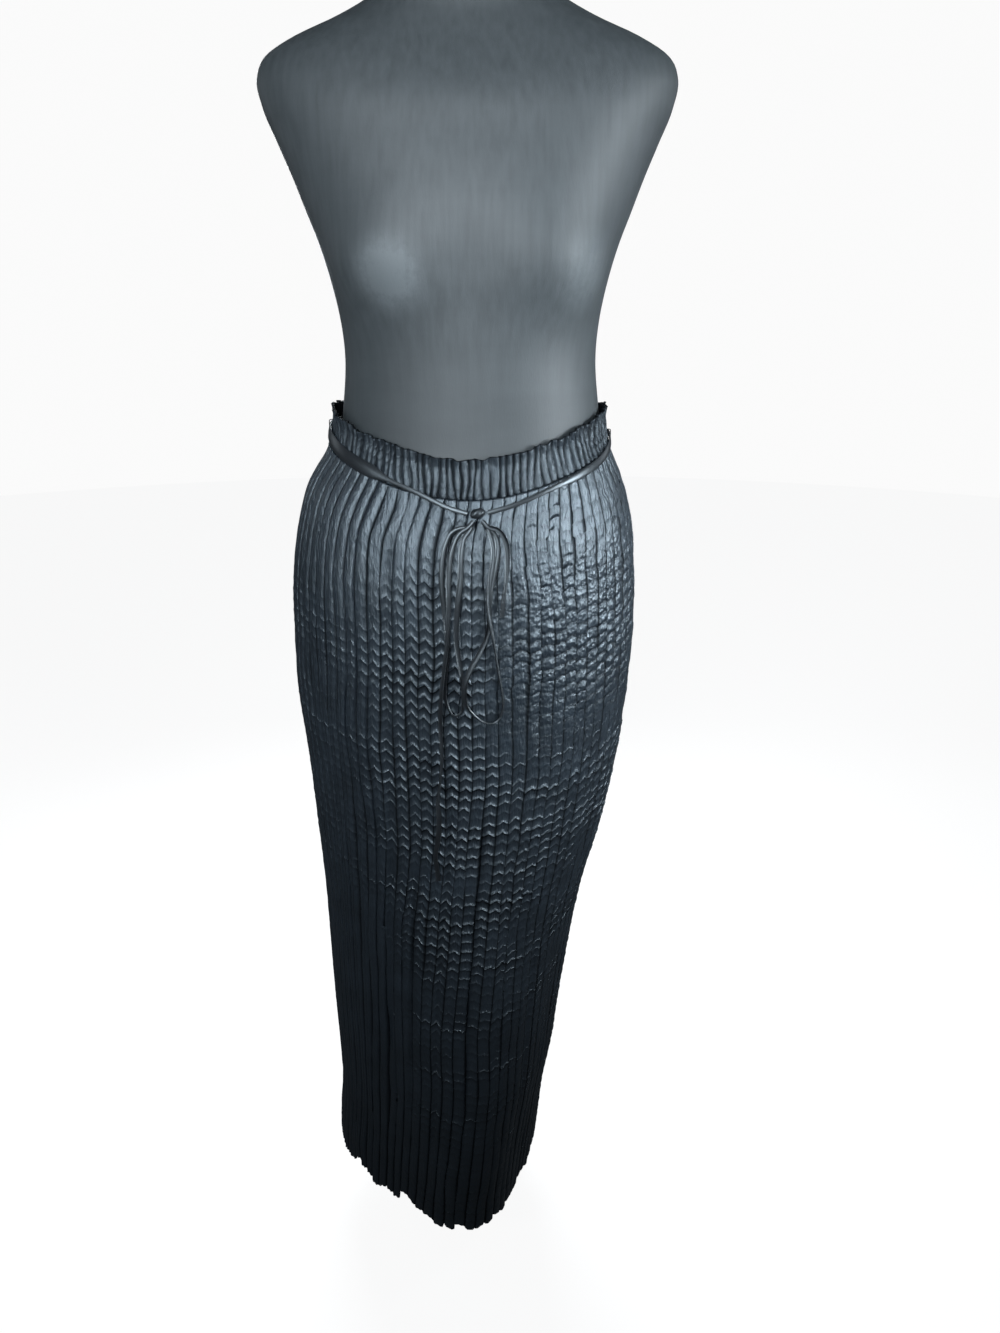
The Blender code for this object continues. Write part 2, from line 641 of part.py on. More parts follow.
def main():
    clear_scene()
    satin = make_material("black_satin", (0.012, 0.014, 0.018), 0.38)
    jersey = make_material("charcoal_jersey", (0.020, 0.023, 0.028), 0.75)
    tape = make_material("black_ribbon", (0.006, 0.006, 0.008), 0.55)
    enamel = make_material("black_enamel", (0.01, 0.01, 0.011), 0.45)

    make_disc("stand_base", BASE_RADIUS, 0.0, BASE_THICK, BASE_BEVEL, enamel)
    make_disc("stand_pole", POLE_RADIUS, BASE_THICK + SEAM_GAP, FORM_ROWS[0].z - SEAM_GAP, 0.0, enamel)
    make_form(jersey)

    make_skirt_panel("skirt_back", 0.0, math.pi, satin)
    make_skirt_panel("skirt_front", math.pi, TAU, satin)
    make_band_panel("waistband_back", 0.0, math.pi, satin)
    make_band_panel("waistband_front", math.pi, TAU, satin)

    for name, rows in (("tie_left", TIE_LEFT), ("tie_right", TIE_RIGHT), ("tie_back", TIE_BACK)):
        centres, normals, widths = tie_path(rows)
        ribbon(name, centres, normals, widths, tape)
    strands = (
        ("bow_loop_left", LOOP_LEFT),
        ("bow_loop_right", LOOP_RIGHT),
        ("tie_tail_left", TAIL_LEFT),
        ("tie_tail_right", TAIL_RIGHT),
    )
    for name, rows in strands:
        centres, normals = bow_path(rows)
        ribbon(name, centres, normals, np.full(len(centres), BOW_WIDTH), tape)
    make_knot(tape)
    make_carrier("carrier_left", math.pi, TIE_LEFT[0], tape)
    make_carrier("carrier_right", TAU, TIE_RIGHT[0], tape)


main()
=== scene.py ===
"""The looks of a long pleated satin skirt with a gathered waistband and a ribbon tie, on a dress form."""

import math
from collections import namedtuple

import bpy
import numpy as np
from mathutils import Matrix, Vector


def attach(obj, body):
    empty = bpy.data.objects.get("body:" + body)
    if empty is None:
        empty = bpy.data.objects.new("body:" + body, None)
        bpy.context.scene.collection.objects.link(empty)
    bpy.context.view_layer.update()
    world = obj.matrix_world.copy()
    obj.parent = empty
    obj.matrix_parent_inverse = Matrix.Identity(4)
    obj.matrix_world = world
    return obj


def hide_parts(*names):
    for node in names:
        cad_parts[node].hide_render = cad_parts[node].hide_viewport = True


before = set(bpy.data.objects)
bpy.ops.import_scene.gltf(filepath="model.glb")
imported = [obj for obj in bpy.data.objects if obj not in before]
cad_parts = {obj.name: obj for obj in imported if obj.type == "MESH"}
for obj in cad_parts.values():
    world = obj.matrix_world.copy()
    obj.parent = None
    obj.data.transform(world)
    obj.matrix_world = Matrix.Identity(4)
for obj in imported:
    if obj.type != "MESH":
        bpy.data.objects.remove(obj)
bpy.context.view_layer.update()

TAU = 2 * math.pi
SEAM_GAP = 0.0003
FORM_X = 0.035
FORM_Y = -0.020

# Dress form: its sections, from the underside to the flat top of the neck
FormRow = namedtuple("FormRow", "z half_width front back square")
FORM_ROWS = [FormRow(*row) for row in (
    (0.6600, 0.118, 0.080, 0.084, 2.1),
    (0.6660, 0.142, 0.102, 0.104, 2.1),
    (0.6900, 0.155, 0.115, 0.116, 2.1),
    (0.7300, 0.1605, 0.120, 0.121, 2.1),
    (0.7700, 0.162, 0.121, 0.122, 2.1),
    (0.8100, 0.1608, 0.120, 0.120, 2.1),
    (0.8500, 0.157, 0.117, 0.116, 2.1),
    (0.8900, 0.1525, 0.112, 0.110, 2.1),
    (0.9260, 0.1430, 0.105, 0.103, 2.1),
    (0.9600, 0.1325, 0.099, 0.097, 2.1),
    (0.9960, 0.1270, 0.0965, 0.092, 2.1),
    (1.0400, 0.1230, 0.0970, 0.090, 2.1),
    (1.0780, 0.1260, 0.1010, 0.092, 2.1),
    (1.1100, 0.1325, 0.1060, 0.098, 2.1),
    (1.1420, 0.1420, 0.1095, 0.104, 2.15),
    (1.1670, 0.1515, 0.1095, 0.108, 2.2),
    (1.1950, 0.1620, 0.105, 0.110, 2.25),
    (1.2240, 0.1740, 0.098, 0.110, 2.3),
    (1.2540, 0.1860, 0.090, 0.106, 2.35),
    (1.2760, 0.1890, 0.080, 0.098, 2.4),
    (1.2930, 0.1800, 0.071, 0.089, 2.4),
    (1.3070, 0.1560, 0.064, 0.080, 2.3),
    (1.3220, 0.1190, 0.058, 0.072, 2.2),
    (1.3380, 0.0870, 0.055, 0.065, 2.1),
    (1.3560, 0.0660, 0.053, 0.058, 2.0),
    (1.3760, 0.0570, 0.052, 0.054, 2.0),
    (1.4100, 0.0550, 0.052, 0.052, 2.0),
)]
BUST_HEIGHT = 1.118
BUST_APART = 0.082
BUST_OUT = 0.015
BUST_SPREAD = 0.044

# Waistband
GATHERS_PER_PANEL = 56
BAND_HEIGHT = 0.036
BAND_TOP_SIDE = 0.995
BAND_DIP_FRONT = 0.042
BAND_DIP_BACK = 0.010
BAND_DIP_POWER = 1.5
BAND_WALL = 0.0020
BAND_LEFT_LIFT = 0.004
BandRow = namedtuple("BandRow", "up clear depth")
BAND_ROWS = (
    BandRow(0.0, 0.0012, 0.0034),
    BandRow(0.30, 0.0008, 0.0028),
    BandRow(0.74, 0.0009, 0.0028),
    BandRow(1.0, 0.0040, 0.0040),
)
BAND_REACH = BAND_ROWS[0].clear + BAND_ROWS[0].depth + BAND_WALL

# Skirt: the sections through the tops of its pleats
PLEATS_PER_PANEL = 38
SKIRT_SQUARE = 2.1
SkirtRow = namedtuple("SkirtRow", "z centre half_width front back")
SKIRT_ROWS = [SkirtRow(*row) for row in (
    (0.020, -0.056, 0.126, 0.104, 0.112),
    (0.107, -0.050, 0.129, 0.107, 0.113),
    (0.165, -0.044, 0.129, 0.110, 0.115),
    (0.222, -0.039, 0.134, 0.113, 0.117),
    (0.296, -0.036, 0.139, 0.116, 0.120),
    (0.386, -0.031, 0.145, 0.120, 0.123),
    (0.454, -0.026, 0.151, 0.123, 0.126),
    (0.536, -0.018, 0.1635, 0.127, 0.130),
    (0.624, -0.0125, 0.1745, 0.131, 0.133),
    (0.694, -0.012, 0.181, 0.133, 0.134),
    (0.764, -0.010, 0.182, 0.133, 0.133),
    (0.844, -0.009, 0.177, 0.129, 0.128),
    (0.891, -0.007, 0.169, 0.121, 0.122),
    (0.926, -0.006, 0.158, 0.113, 0.114),
    (0.953, -0.004, 0.146, 0.107, 0.107),
    (0.990, -0.003, 0.140, 0.103, 0.102),
)]
EASE_OUT = 0.050
PLEAT_DEPTH_TOP = 0.0032
PLEAT_DEPTH = 0.0056
PLEAT_DEPTH_HEM = 0.0070
EVEN_HEIGHT = 0.764

# The skirt swings forward and to the right of its hem's middle, into a soft point
POINT_ANGLE = math.radians(-69)
POINT_OUT = 0.038
POINT_SPREAD = math.radians(27)
POINT_FROM = 0.62
HEM_SIDE = 0.068
HEM_DIP = 0.037
HEM_SPREAD = math.radians(48)
HEM_UNEVEN = 0.0050

# Ribbon tie and bow
RIBBON_WIDTH = 0.0074
RIBBON_WIDE = 0.0125
RIBBON_ROLLED = 0.0044
BOW_WIDTH = 0.0062
RIBBON_THICK = 0.0010
RIBBON_STEP = 0.0085
TIE_LIFT = 0.0018
KNOT = Vector((0.008, 0.0, 0.9055))
KNOT_SIZE = Vector((0.013, 0.0070, 0.009))
KNOT_LIFT = 0.0003
LOOP_THREAD = 0.0006
LOOP_OUT = 0.0032

TieRow = namedtuple("TieRow", "angle z width")
TIE_LEFT = (
    TieRow(181.0, 0.9720, RIBBON_WIDE),
    TieRow(196.0, 0.9620, RIBBON_WIDE),
    TieRow(212.0, 0.9490, RIBBON_WIDE),
    TieRow(224.0, 0.9400, RIBBON_WIDE),
    TieRow(233.0, 0.9333, RIBBON_ROLLED),
    TieRow(245.0, 0.9240, RIBBON_ROLLED),
    TieRow(260.0, 0.9110, RIBBON_ROLLED),
    TieRow(269.4, 0.9055, RIBBON_ROLLED),
)
TIE_RIGHT = (
    TieRow(359.0, 0.9650, RIBBON_WIDTH),
    TieRow(342.0, 0.9500, RIBBON_WIDTH),
    TieRow(325.0, 0.9370, RIBBON_WIDTH),
    TieRow(308.0, 0.9250, RIBBON_ROLLED),
    TieRow(292.0, 0.9130, RIBBON_ROLLED),
    TieRow(278.6, 0.9060, RIBBON_ROLLED),
)
TIE_BACK = (
    TieRow(1.0, 0.9650, RIBBON_WIDTH),
    TieRow(45.0, 0.9560, RIBBON_WIDTH),
    TieRow(90.0, 0.9520, RIBBON_WIDTH),
    TieRow(135.0, 0.9600, RIBBON_WIDTH),
    TieRow(179.0, 0.9720, RIBBON_WIDE),
)

# Bow: its loops and tails in front of the skirt, each point with its lift off the pleats
BowRow = namedtuple("BowRow", "x z lift")
LOOP_LEFT = [BowRow(*row) for row in (
    (0.0045, 0.8986, 0.0016),
    (0.0025, 0.8945, 0.0016),
    (-0.006, 0.8925, 0.0016),
    (-0.014, 0.8900, 0.0016),
    (-0.019, 0.8820, 0.0014),
    (-0.023, 0.8680, 0.0014),
    (-0.025, 0.8480, 0.0014),
    (-0.024, 0.8260, 0.0014),
    (-0.022, 0.8030, 0.0014),
    (-0.021, 0.7790, 0.0014),
    (-0.023, 0.7600, 0.0014),
    (-0.024, 0.7440, 0.0014),
    (-0.023, 0.7280, 0.0015),
    (-0.018, 0.7150, 0.0018),
    (-0.012, 0.7120, 0.0022),
    (-0.008, 0.7190, 0.0026),
    (-0.007, 0.7340, 0.0029),
    (-0.008, 0.7500, 0.0031),
    (-0.010, 0.7660, 0.0032),
    (-0.012, 0.7850, 0.0033),
    (-0.012, 0.8060, 0.0034),
    (-0.010, 0.8270, 0.0034),
    (-0.008, 0.8480, 0.0034),
    (-0.008, 0.8660, 0.0034),
    (-0.005, 0.8830, 0.0034),
    (0.0025, 0.8925, 0.0034),
    (0.0045, 0.8986, 0.0034),
)]
LOOP_RIGHT = [BowRow(*row) for row in (
    (0.0125, 0.8986, 0.0016),
    (0.0145, 0.8945, 0.0016),
    (0.0200, 0.8910, 0.0016),
    (0.0250, 0.8850, 0.0014),
    (0.0270, 0.8750, 0.0014),
    (0.0260, 0.8620, 0.0014),
    (0.0230, 0.8500, 0.0014),
    (0.0200, 0.8360, 0.0014),
    (0.0185, 0.8190, 0.0016),
    (0.0180, 0.8030, 0.0020),
    (0.0150, 0.7890, 0.0028),
    (0.0080, 0.7740, 0.0038),
    (0.0010, 0.7610, 0.0046),
    (-0.004, 0.7480, 0.0050),
    (-0.005, 0.7350, 0.0050),
    (-0.003, 0.7230, 0.0048),
    (0.0040, 0.7130, 0.0042),
    (0.0120, 0.7060, 0.0034),
    (0.0190, 0.7030, 0.0028),
    (0.0265, 0.7060, 0.0024),
    (0.0305, 0.7150, 0.0024),
    (0.0310, 0.7270, 0.0024),
    (0.0290, 0.7410, 0.0026),
    (0.0255, 0.7620, 0.0030),
    (0.0220, 0.7850, 0.0034),
    (0.0185, 0.8070, 0.0036),
    (0.0170, 0.8260, 0.0036),
    (0.0185, 0.8460, 0.0034),
    (0.0215, 0.8630, 0.0034),
    (0.0215, 0.8770, 0.0034),
    (0.0180, 0.8890, 0.0034),
    (0.0125, 0.8986, 0.0034),
)]
TAIL_LEFT = [BowRow(*row) for row in (
    (0.0045, 0.8986, 0.0052),
    (0.0015, 0.8940, 0.0052),
    (-0.008, 0.8880, 0.0052),
    (-0.015, 0.8730, 0.0052),
    (-0.019, 0.8440, 0.0052),
    (-0.019, 0.8150, 0.0052),
    (-0.021, 0.7850, 0.0052),
    (-0.024, 0.7590, 0.0052),
    (-0.027, 0.7330, 0.0050),
    (-0.029, 0.7010, 0.0030),
    (-0.029, 0.6680, 0.0018),
    (-0.031, 0.6410, 0.0016),
    (-0.034, 0.6180, 0.0016),
    (-0.033, 0.5950, 0.0016),
    (-0.034, 0.5720, 0.0016),
    (-0.037, 0.5540, 0.0016),
    (-0.036, 0.5370, 0.0016),
    (-0.035, 0.5230, 0.0016),
)]
TAIL_RIGHT = [BowRow(*row) for row in (
    (0.0125, 0.8986, 0.0052),
    (0.0150, 0.8940, 0.0052),
    (0.0240, 0.8920, 0.0052),
    (0.0300, 0.8870, 0.0052),
    (0.0340, 0.8780, 0.0050),
    (0.0350, 0.8620, 0.0046),
    (0.0335, 0.8440, 0.0044),
    (0.0310, 0.8260, 0.0044),
    (0.0300, 0.8100, 0.0044),
)]

# Camera: the photograph's view, from a metre in front of the form and a little above its shoulders
CAMERA_RIGHT = 0.029
CAMERA_AWAY = 1.0
CAMERA_HEIGHT = 1.077
CAMERA_DOWN = math.radians(20)
SENSOR = 36.0
FOCAL_PIXELS = 963.0
IMAGE_HEIGHT = 1333.0

# Fine cloth: columns across a pleat, and rows up a crease with how far they stand out, sharp or puffed
PLEAT_COLUMNS = (-0.5, -0.44, -0.25, 0.0, 0.25, 0.44)
PANEL_STEPS = 2000
LINING_ROWS = 30
CREASE_PITCH = 0.0122
CreaseRow = namedtuple("CreaseRow", "part lift pillow")
CREASE_ROWS = (
    CreaseRow(0.0, 1.0, -0.40),
    CreaseRow(0.12, 0.55, 0.35),
    CreaseRow(0.32, 0.16, 0.60),
    CreaseRow(0.62, 0.0, 0.70),
    CreaseRow(0.87, 0.36, 0.45),
)
CREASE_HEIGHT = 0.0011
CREASE_RISE = 0.0075
CREASE_SHIFT = 0.0048
CRUMPLE_HEIGHT = 0.0005
FLATTEN = 0.80
CLEFT = 0.0009
HEM_STEP = 0.0048
HEM_TOOTH = 0.0040
SKIRT_SHELL = 0.0009
SEAM_SLANT = 0.0045

# Fine casing: its columns for each gather, its levels, and how far its upper edge is tucked in
GATHER_COLUMNS = 8
BAND_LEVELS = 26
BAND_SHELL = 0.0011
BAND_TUCK = 0.0013
GATHER_SHARPNESS = 0.6
BAND_CREASES = 4.6
BAND_CREASE_BEND = 0.75

# Height, and the light kept in the satin's colour as painted shade, across one crease from its lower edge
# up, sharp or puffed
CREST_CURVE = ((0.0, 1.0), (0.06, 0.70), (0.14, 0.34), (0.40, 0.0), (0.70, 0.14), (0.88, 0.50), (1.0, 1.0))
PUFF_CURVE = ((0.0, 0.0), (0.10, 0.60), (0.30, 0.90), (0.60, 1.0), (0.86, 0.75), (1.0, 0.0))
SHADE_CURVE = ((0.0, 1.0), (0.12, 1.0), (0.45, 0.85), (0.75, 0.62), (0.93, 0.30), (0.98, 0.45), (1.0, 1.0))
PUFF_SHADE_CURVE = ((0.0, 0.30), (0.07, 0.85), (0.20, 1.0), (0.80, 1.0), (0.93, 0.80), (1.0, 0.30))

# Painted shade: the light kept in the satin's colour and gloss from a pleat's valley to its ridge
VALLEY_CURVE = ((0.0, 0.04), (0.07, 0.35), (0.16, 0.92), (0.30, 1.0), (1.0, 1.0))
GATHER_KEPT_LIGHT = 0.125
CLEFT_KEPT_LIGHT = 0.05


class Side(namedtuple("Side", "angle spread")):
    """A part of the skirt about an angle in degrees, which fades out round it."""

    def weight(self, angle):
        away = np.abs(turn_between(angle, math.radians(self.angle))) / math.radians(self.spread)
        return ease(1.4 - away)


SMOOTH_SIDE = Side(324, 42)
CRISP_SIDE = Side(203, 46)


class Ramp(namedtuple("Ramp", "start length")):
    """Eases from 0 at its start to 1 over its length."""

    def at(self, value):
        return ease((value - self.start) / self.length)


# Down the skirt, in metres below the casing
PUFFS_IN = Ramp(0.005, 0.03)
PUFFS_OUT = Ramp(0.17, 0.16)
PATCH_OUT = Ramp(0.05, 0.05)
CHEVRONS_IN = Ramp(0.02, 0.13)
CHEVRONS_OUT = Ramp(0.42, 0.14)
PRESSED_FLAT = Ramp(0.01, 0.05)
WANDER_IN = Ramp(0.0, 0.02)
SWAY_IN = Ramp(0.0, 0.06)
CRUMPLE_IN = Ramp(0.0, 0.01)

# Creases pressed right across near the hem, in metres below the casing, and how wide they are
PRESSED = (0.510, 0.583, 0.655, 0.716)
PRESSED_SPREAD = 0.007

# In shares of the skirt's height from the casing down, or of the cloth's from its lower edge up
DEEPEN_IN = Ramp(0.0, 0.08)
DEEPEN_HEM = Ramp(0.6, 0.4)
ROWS_EDGE = Ramp(0.0, 0.03)
HEM_EDGE = Ramp(0.0, 0.01)
TUCK_FROM = Ramp(0.70, 0.30)
RUFFLE_FROM = Ramp(0.6, 0.4)


class Uneven(namedtuple("Uneven", "amount across up pattern shift", defaults=[0.0])):
    """Unevenness: its amount, how often it changes across and up the cloth, and its pattern."""

    def at(self, x, y, panel=0.0):
        return self.amount * patchy(x * self.across + self.shift, y * self.up, self.pattern + panel)


# The skirt's unevenness by its pleats, and up it by creases or by a height in metres
SEED = 7.31
RISES = Uneven(0.25, 1.7, 0.0, 3.0)
HEM_BUNDLES = Uneven(2.2, 0.37, 0.0, 5.0)
HEM_PLEATS = Uneven(0.7, 1.0, 0.0, 6.0)
HEM_TEETH = Uneven(0.4, 0.7, 0.0, 7.0)
WANDERS = Uneven(0.30, 0.45, 1 / 0.11, 11.0)
WANDERS_SHORT = Uneven(0.10, 0.9, 1 / 0.035, 12.0)
WANDERS_PUFFED = Uneven(0.13, 1.7, 0.9, 13.0)
SHIFTS = Uneven(1.0, 1.0, 0.17, 14.0)
DEPTHS = Uneven(0.70, 0.9, 1 / 0.15, 21.0)
DEPTHS_SHORT = Uneven(0.25, 1.3, 1 / 0.03, 22.0)
BUNDLES = Uneven(1.0, 1.9, 1 / 0.30, 23.0)
CRIMP_GROUPS = Uneven(0.50, 0.16, 0.53, 31.0, 3.0)
CRIMP_PLEATS = Uneven(1.0, 1.3, 1.1, 32.0)
CRIMP_ROWS = Uneven(0.40, 0.07, 1.0, 33.0, 9.0)
CRUMPLES = Uneven(0.45, 1.0, 1 / 0.016, 41.0)
CRUMPLES_FINE = Uneven(0.45, 2.0, 1 / 0.008, 42.0)
SWAYS = Uneven(0.0012, 0.23, 1 / 0.22, 51.0)

# The casing's unevenness, by its gathers and in shares of its height
DRIFTS = Uneven(0.34, 0.5, 1.2, 61.0)
DRIFTS_SHORT = Uneven(0.22, 1.1, 2.5, 62.0)
GATHER_DEPTHS = Uneven(0.35, 1.0, 1.6, 63.0)
GATHER_GROUPS = Uneven(0.25, 0.3, 1.0, 64.0)
RUFFLES = Uneven(0.0016, 0.9, 0.0, 65.0)
RUFFLES_WIDE = Uneven(0.0010, 0.25, 0.0, 66.0)
BAND_CRUMPLES = Uneven(0.0004, 1.6, 7.0, 67.0)
BAND_CRIMPS = Uneven(0.8, 0.12, 1.5, 68.0)
PINCHES = Uneven(0.75, 1.0, 1.2, 69.0)
FRONT_BAND_PATTERNS = 40.0

# Long folds between the pleats, in front and then behind
FOLD_END = 0.05
FoldRow = namedtuple("FoldRow", "angle top bottom depth width")
FOLDS = [FoldRow(*row) for row in (
    (240.0, 0.90, 0.25, 0.0040, 1.7),
    (252.0, 0.55, 0.15, 0.0030, 1.1),
    (266.5, 0.62, 0.12, 0.0034, 1.3),
    (281.5, 0.60, 0.20, 0.0030, 1.2),
    (293.0, 0.87, 0.73, 0.0032, 1.1),
    (303.0, 0.83, 0.66, 0.0030, 1.3),
    (314.0, 0.45, 0.10, 0.0030, 1.3),
    (20.0, 0.80, 0.35, 0.0026, 1.8),
    (62.0, 0.88, 0.30, 0.0030, 1.8),
    (96.0, 0.66, 0.16, 0.0026, 1.6),
    (131.0, 0.84, 0.52, 0.0026, 1.6),
    (164.0, 0.70, 0.22, 0.0030, 2.0),
)]

# Ribbon: its drawn thickness, its steps, and how it is cupped at the waist and in the bow
RIBBON_DRAWN = RIBBON_THICK * 0.32
TIE_STEP = 0.004
STRAND_STEP = 0.003
TIE_CUP = -0.16
STRAND_CUP = 0.30
RIBBON_PROFILE = ((-1.0, 1.0), (-0.62, -0.05), (0.0, -0.30), (0.62, -0.05), (1.0, 1.0))

# Each strand's turns about itself along its length, in degrees, and how wide its roll leaves it
Strand = namedtuple("Strand", "name node rows turns rolls far_end")
STRANDS = (
    Strand(
        "ribbon_loop_left", "bow_loop_left", LOOP_LEFT,
        (0, 25, 10, -15, 20, 60, 30, 0, -20, 10, 0), (0.6, 0.9, 0.7, 0.9, 0.6, 0.8, 0.9, 0.6), "object",
    ),
    Strand(
        "ribbon_loop_right", "bow_loop_right", LOOP_RIGHT,
        (0, 20, -25, 0, 35, 65, 50, 70, 35, 0, 0), (0.6, 0.9, 0.6, 0.9, 0.7, 0.6, 0.9, 0.7, 0.6), "object",
    ),
    Strand(
        "ribbon_tail_left", "tie_tail_left", TAIL_LEFT,
        (0, 15, -10, 20, 60, 30, -30, -70, -20, 40, 0), (0.6, 0.8, 0.6, 0.9, 0.6, 0.7, 0.9, 0.8), "bare",
    ),
    Strand(
        "ribbon_tail_right", "tie_tail_right", TAIL_RIGHT,
        (0, 30, 10, -20, 0), (0.6, 0.8, 0.6, 0.7), "bare",
    ),
)

# Thread loop over the tie: its bend, up and out in shares of its half height and its reach
LOOP_BEND = (
    (-1.0, -0.9), (-1.0, 0.3), (-0.98, 0.90), (-0.7, 1.0), (0.0, 1.0),
    (0.7, 1.0), (0.98, 0.90), (1.0, 0.3), (1.0, -0.9),
)
LOOP_ROOM = 0.0006
LOOP_TIGHTER = 0.0004
LOOP_RADIUS = LOOP_THREAD * 0.75

# Knot: the points round it and along it, how much its ends close in, and its slanted turn
KNOT_AROUND = 40
KNOT_ALONG = 22
KNOT_CLOSING = 0.62
KNOT_PINCH = 0.07
KNOT_SLANT = 0.0012

# Form: its columns and levels, and where painted highlights lie pale over the bust
FORM_COLUMNS = 160
FORM_LEVELS = 190
HighlightRow = namedtuple("HighlightRow", "place strength")
BUST_HIGHLIGHTS = (
    HighlightRow((FORM_X - 0.070, FORM_Y - 0.108, 1.110), 1.9),
    HighlightRow((FORM_X + 0.104, FORM_Y - 0.078, 1.114), 1.1),
)
HIGHLIGHT_REACH = (0.046, 0.004)
WAIST_SHADE = (0.95, 1.10)

# Colours
# Lit and shaded copies of the satin, mixed by painted shade in the valleys and under the creases
SATIN_SHADED = (0.0016, 0.0020, 0.0026, 1)
SATIN_LIT = (0.0112, 0.0160, 0.0220, 1)
SATIN_SHINE = (0.80, 0.92, 1.0, 1)
JERSEY_DARK = (0.008, 0.012, 0.014, 1)
JERSEY_GREY = (0.022, 0.027, 0.030, 1)
# Pale tone of the jersey's own streaks and of its painted highlights over the bust
JERSEY_STREAK_AND_HIGHLIGHT = (0.070, 0.080, 0.086, 1)
RIBBON_DARK = (0.0045, 0.0050, 0.0060, 1)
RIBBON_PALE = (0.0120, 0.0135, 0.0155, 1)
RIBBON_SHINE = (0.82, 0.93, 1.0, 1)
ENAMEL = (0.012, 0.012, 0.013, 1)
LAMP_COLOUR = (0.86, 0.94, 1.0)
SKY_COLOUR = (0.80, 0.90, 1.0, 1)
SKY_STRENGTH = 0.060

# Stage: the floor's radius, its backdrop's curve and how both glow, and soft lights before and behind
FLOOR_REACH = 6.0
CURVE = 5.0
STAGE_SIDES = 72
FLOOR_COLOUR = (0.25, 0.25, 0.25, 1)
BACKDROP_COLOUR = (0.0, 0.0, 0.0, 1)
FLOOR_GLOW = 0.92
BACKDROP_GLOW = 0.96
FLOOR_DROP = 0.0005
BACKDROP_DROP = 0.0006
LightRow = namedtuple("LightRow", "name place aim size power spread")
LIGHTS = (
    LightRow("key", (-0.18, -1.60, 1.48), (0.02, 0.0, 1.08), (0.8, 0.7), 5.7, 55),
    LightRow("window", (1.45, -0.70, 1.14), (0.12, -0.05, 0.92), (0.5, 0.7), 3.5, 36),
    LightRow("left", (-1.35, -1.10, 1.15), (-0.10, -0.05, 0.72), (0.5, 0.8), 0.9, 52),
    LightRow("back", (-0.35, 1.9, 1.5), (0.0, 0.0, 0.95), (1.0, 0.8), 16, 110),
    LightRow("side_left", (-2.1, 1.1, 1.5), (0.0, 0.0, 0.8), (0.6, 1.0), 1.2, 120),
    LightRow("side_right", (2.1, 1.1, 1.5), (0.0, 0.0, 0.8), (0.6, 1.0), 2, 120),
)


def smooth_column(rows, name):
    """A function of height that runs smoothly through one column of a table."""
    height = np.array([row.z for row in rows])
    value = np.array([getattr(row, name) for row in rows])
    slope = np.gradient(value, height)

    def at(z):
        z = np.clip(z, height[0], height[-1])
        low = np.clip(np.searchsorted(height, z, side="right") - 1, 0, len(height) - 2)
        span = height[low + 1] - height[low]
        t = (z - height[low]) / span
        start = (1 + 2 * t) * (1 - t) ** 2 * value[low] + t * (1 - t) ** 2 * span * slope[low]
        end = t * t * (3 - 2 * t) * value[low + 1] + t * t * (t - 1) * span * slope[low + 1]
        return start + end

    return at


def columns_of(rows):
    """A smooth function of height for each named column of a table."""
    return {name: smooth_column(rows, name) for name in rows[0]._fields if name != "z"}


FORM = columns_of(FORM_ROWS)
SKIRT = columns_of(SKIRT_ROWS)


def ease(t):
    t = np.clip(t, 0.0, 1.0)
    return t * t * (3 - 2 * t)


def oval_radius(angle, half_width, front, back, square):
    """Distance from the middle to a rounded oval that is as deep in front and behind as it is told."""
    depth = np.where(np.sin(angle) < 0, front, back)
    across = np.abs(np.cos(angle) / half_width) ** square
    along = np.abs(np.sin(angle) / depth) ** square
    return (across + along) ** (-1 / square)


def turn_between(angle, target):
    """The angle from the target, wrapped to half a turn each way."""
    return (angle - target + math.pi) % TAU - math.pi


def form_radius(angle, z):
    plain = oval_radius(angle, FORM["half_width"](z), FORM["front"](z), FORM["back"](z), FORM["square"](z))
    x = plain * np.cos(angle)
    beside = (np.abs(x) - BUST_APART) / BUST_SPREAD
    above = (z - BUST_HEIGHT) / BUST_SPREAD
    facing = ease(-1.6 * np.sin(angle))
    return plain + BUST_OUT * facing * np.exp(-beside**2 - above**2)


def skirt_oval(angle, z):
    """The skirt's ridges, as a distance from the middle of its section."""
    plain = oval_radius(angle, SKIRT["half_width"](z), SKIRT["front"](z), SKIRT["back"](z), SKIRT_SQUARE)
    towards = np.exp(-((turn_between(angle, POINT_ANGLE) / POINT_SPREAD) ** 2))
    return plain + POINT_OUT * towards * ease((POINT_FROM - z) / POINT_FROM)


def form_plan(angle, z):
    radius = form_radius(angle, z)
    return radius * np.cos(angle), radius * np.sin(angle)


def hanging_plan(angle, z):
    radius = skirt_oval(angle, z)
    return SKIRT["centre"](z) + radius * np.cos(angle), radius * np.sin(angle)


def skirt_plan(angle, z):
    """The skirt's ridges, which start at the casing's lower edge and ease out to the hanging section."""
    seam = band_top(angle) - BAND_HEIGHT
    x, y = hanging_plan(angle, z)
    seam_x, seam_y = hanging_plan(angle, seam)
    form_x, form_y = form_plan(angle, seam)
    reach = 1 + (BAND_REACH + band_lift(angle)) / np.hypot(form_x, form_y)
    keep = 1 - ease((seam - z) / EASE_OUT)
    return x + keep * (form_x * reach - seam_x), y + keep * (form_y * reach - seam_y)


def points_on(plan, angle, z, out):
    """Points on a plan's curve at each angle and height, moved out square to the curve."""
    step = 1e-4
    x, y = plan(angle, z)
    ahead_x, ahead_y = plan(angle + step, z)
    behind_x, behind_y = plan(angle - step, z)
    run_x, run_y = ahead_x - behind_x, ahead_y - behind_y
    length = np.hypot(run_x, run_y)
    x = x + out * run_y / length + FORM_X
    y = y - out * run_x / length + FORM_Y
    return np.stack(np.broadcast_arrays(x, y, z), axis=-1)


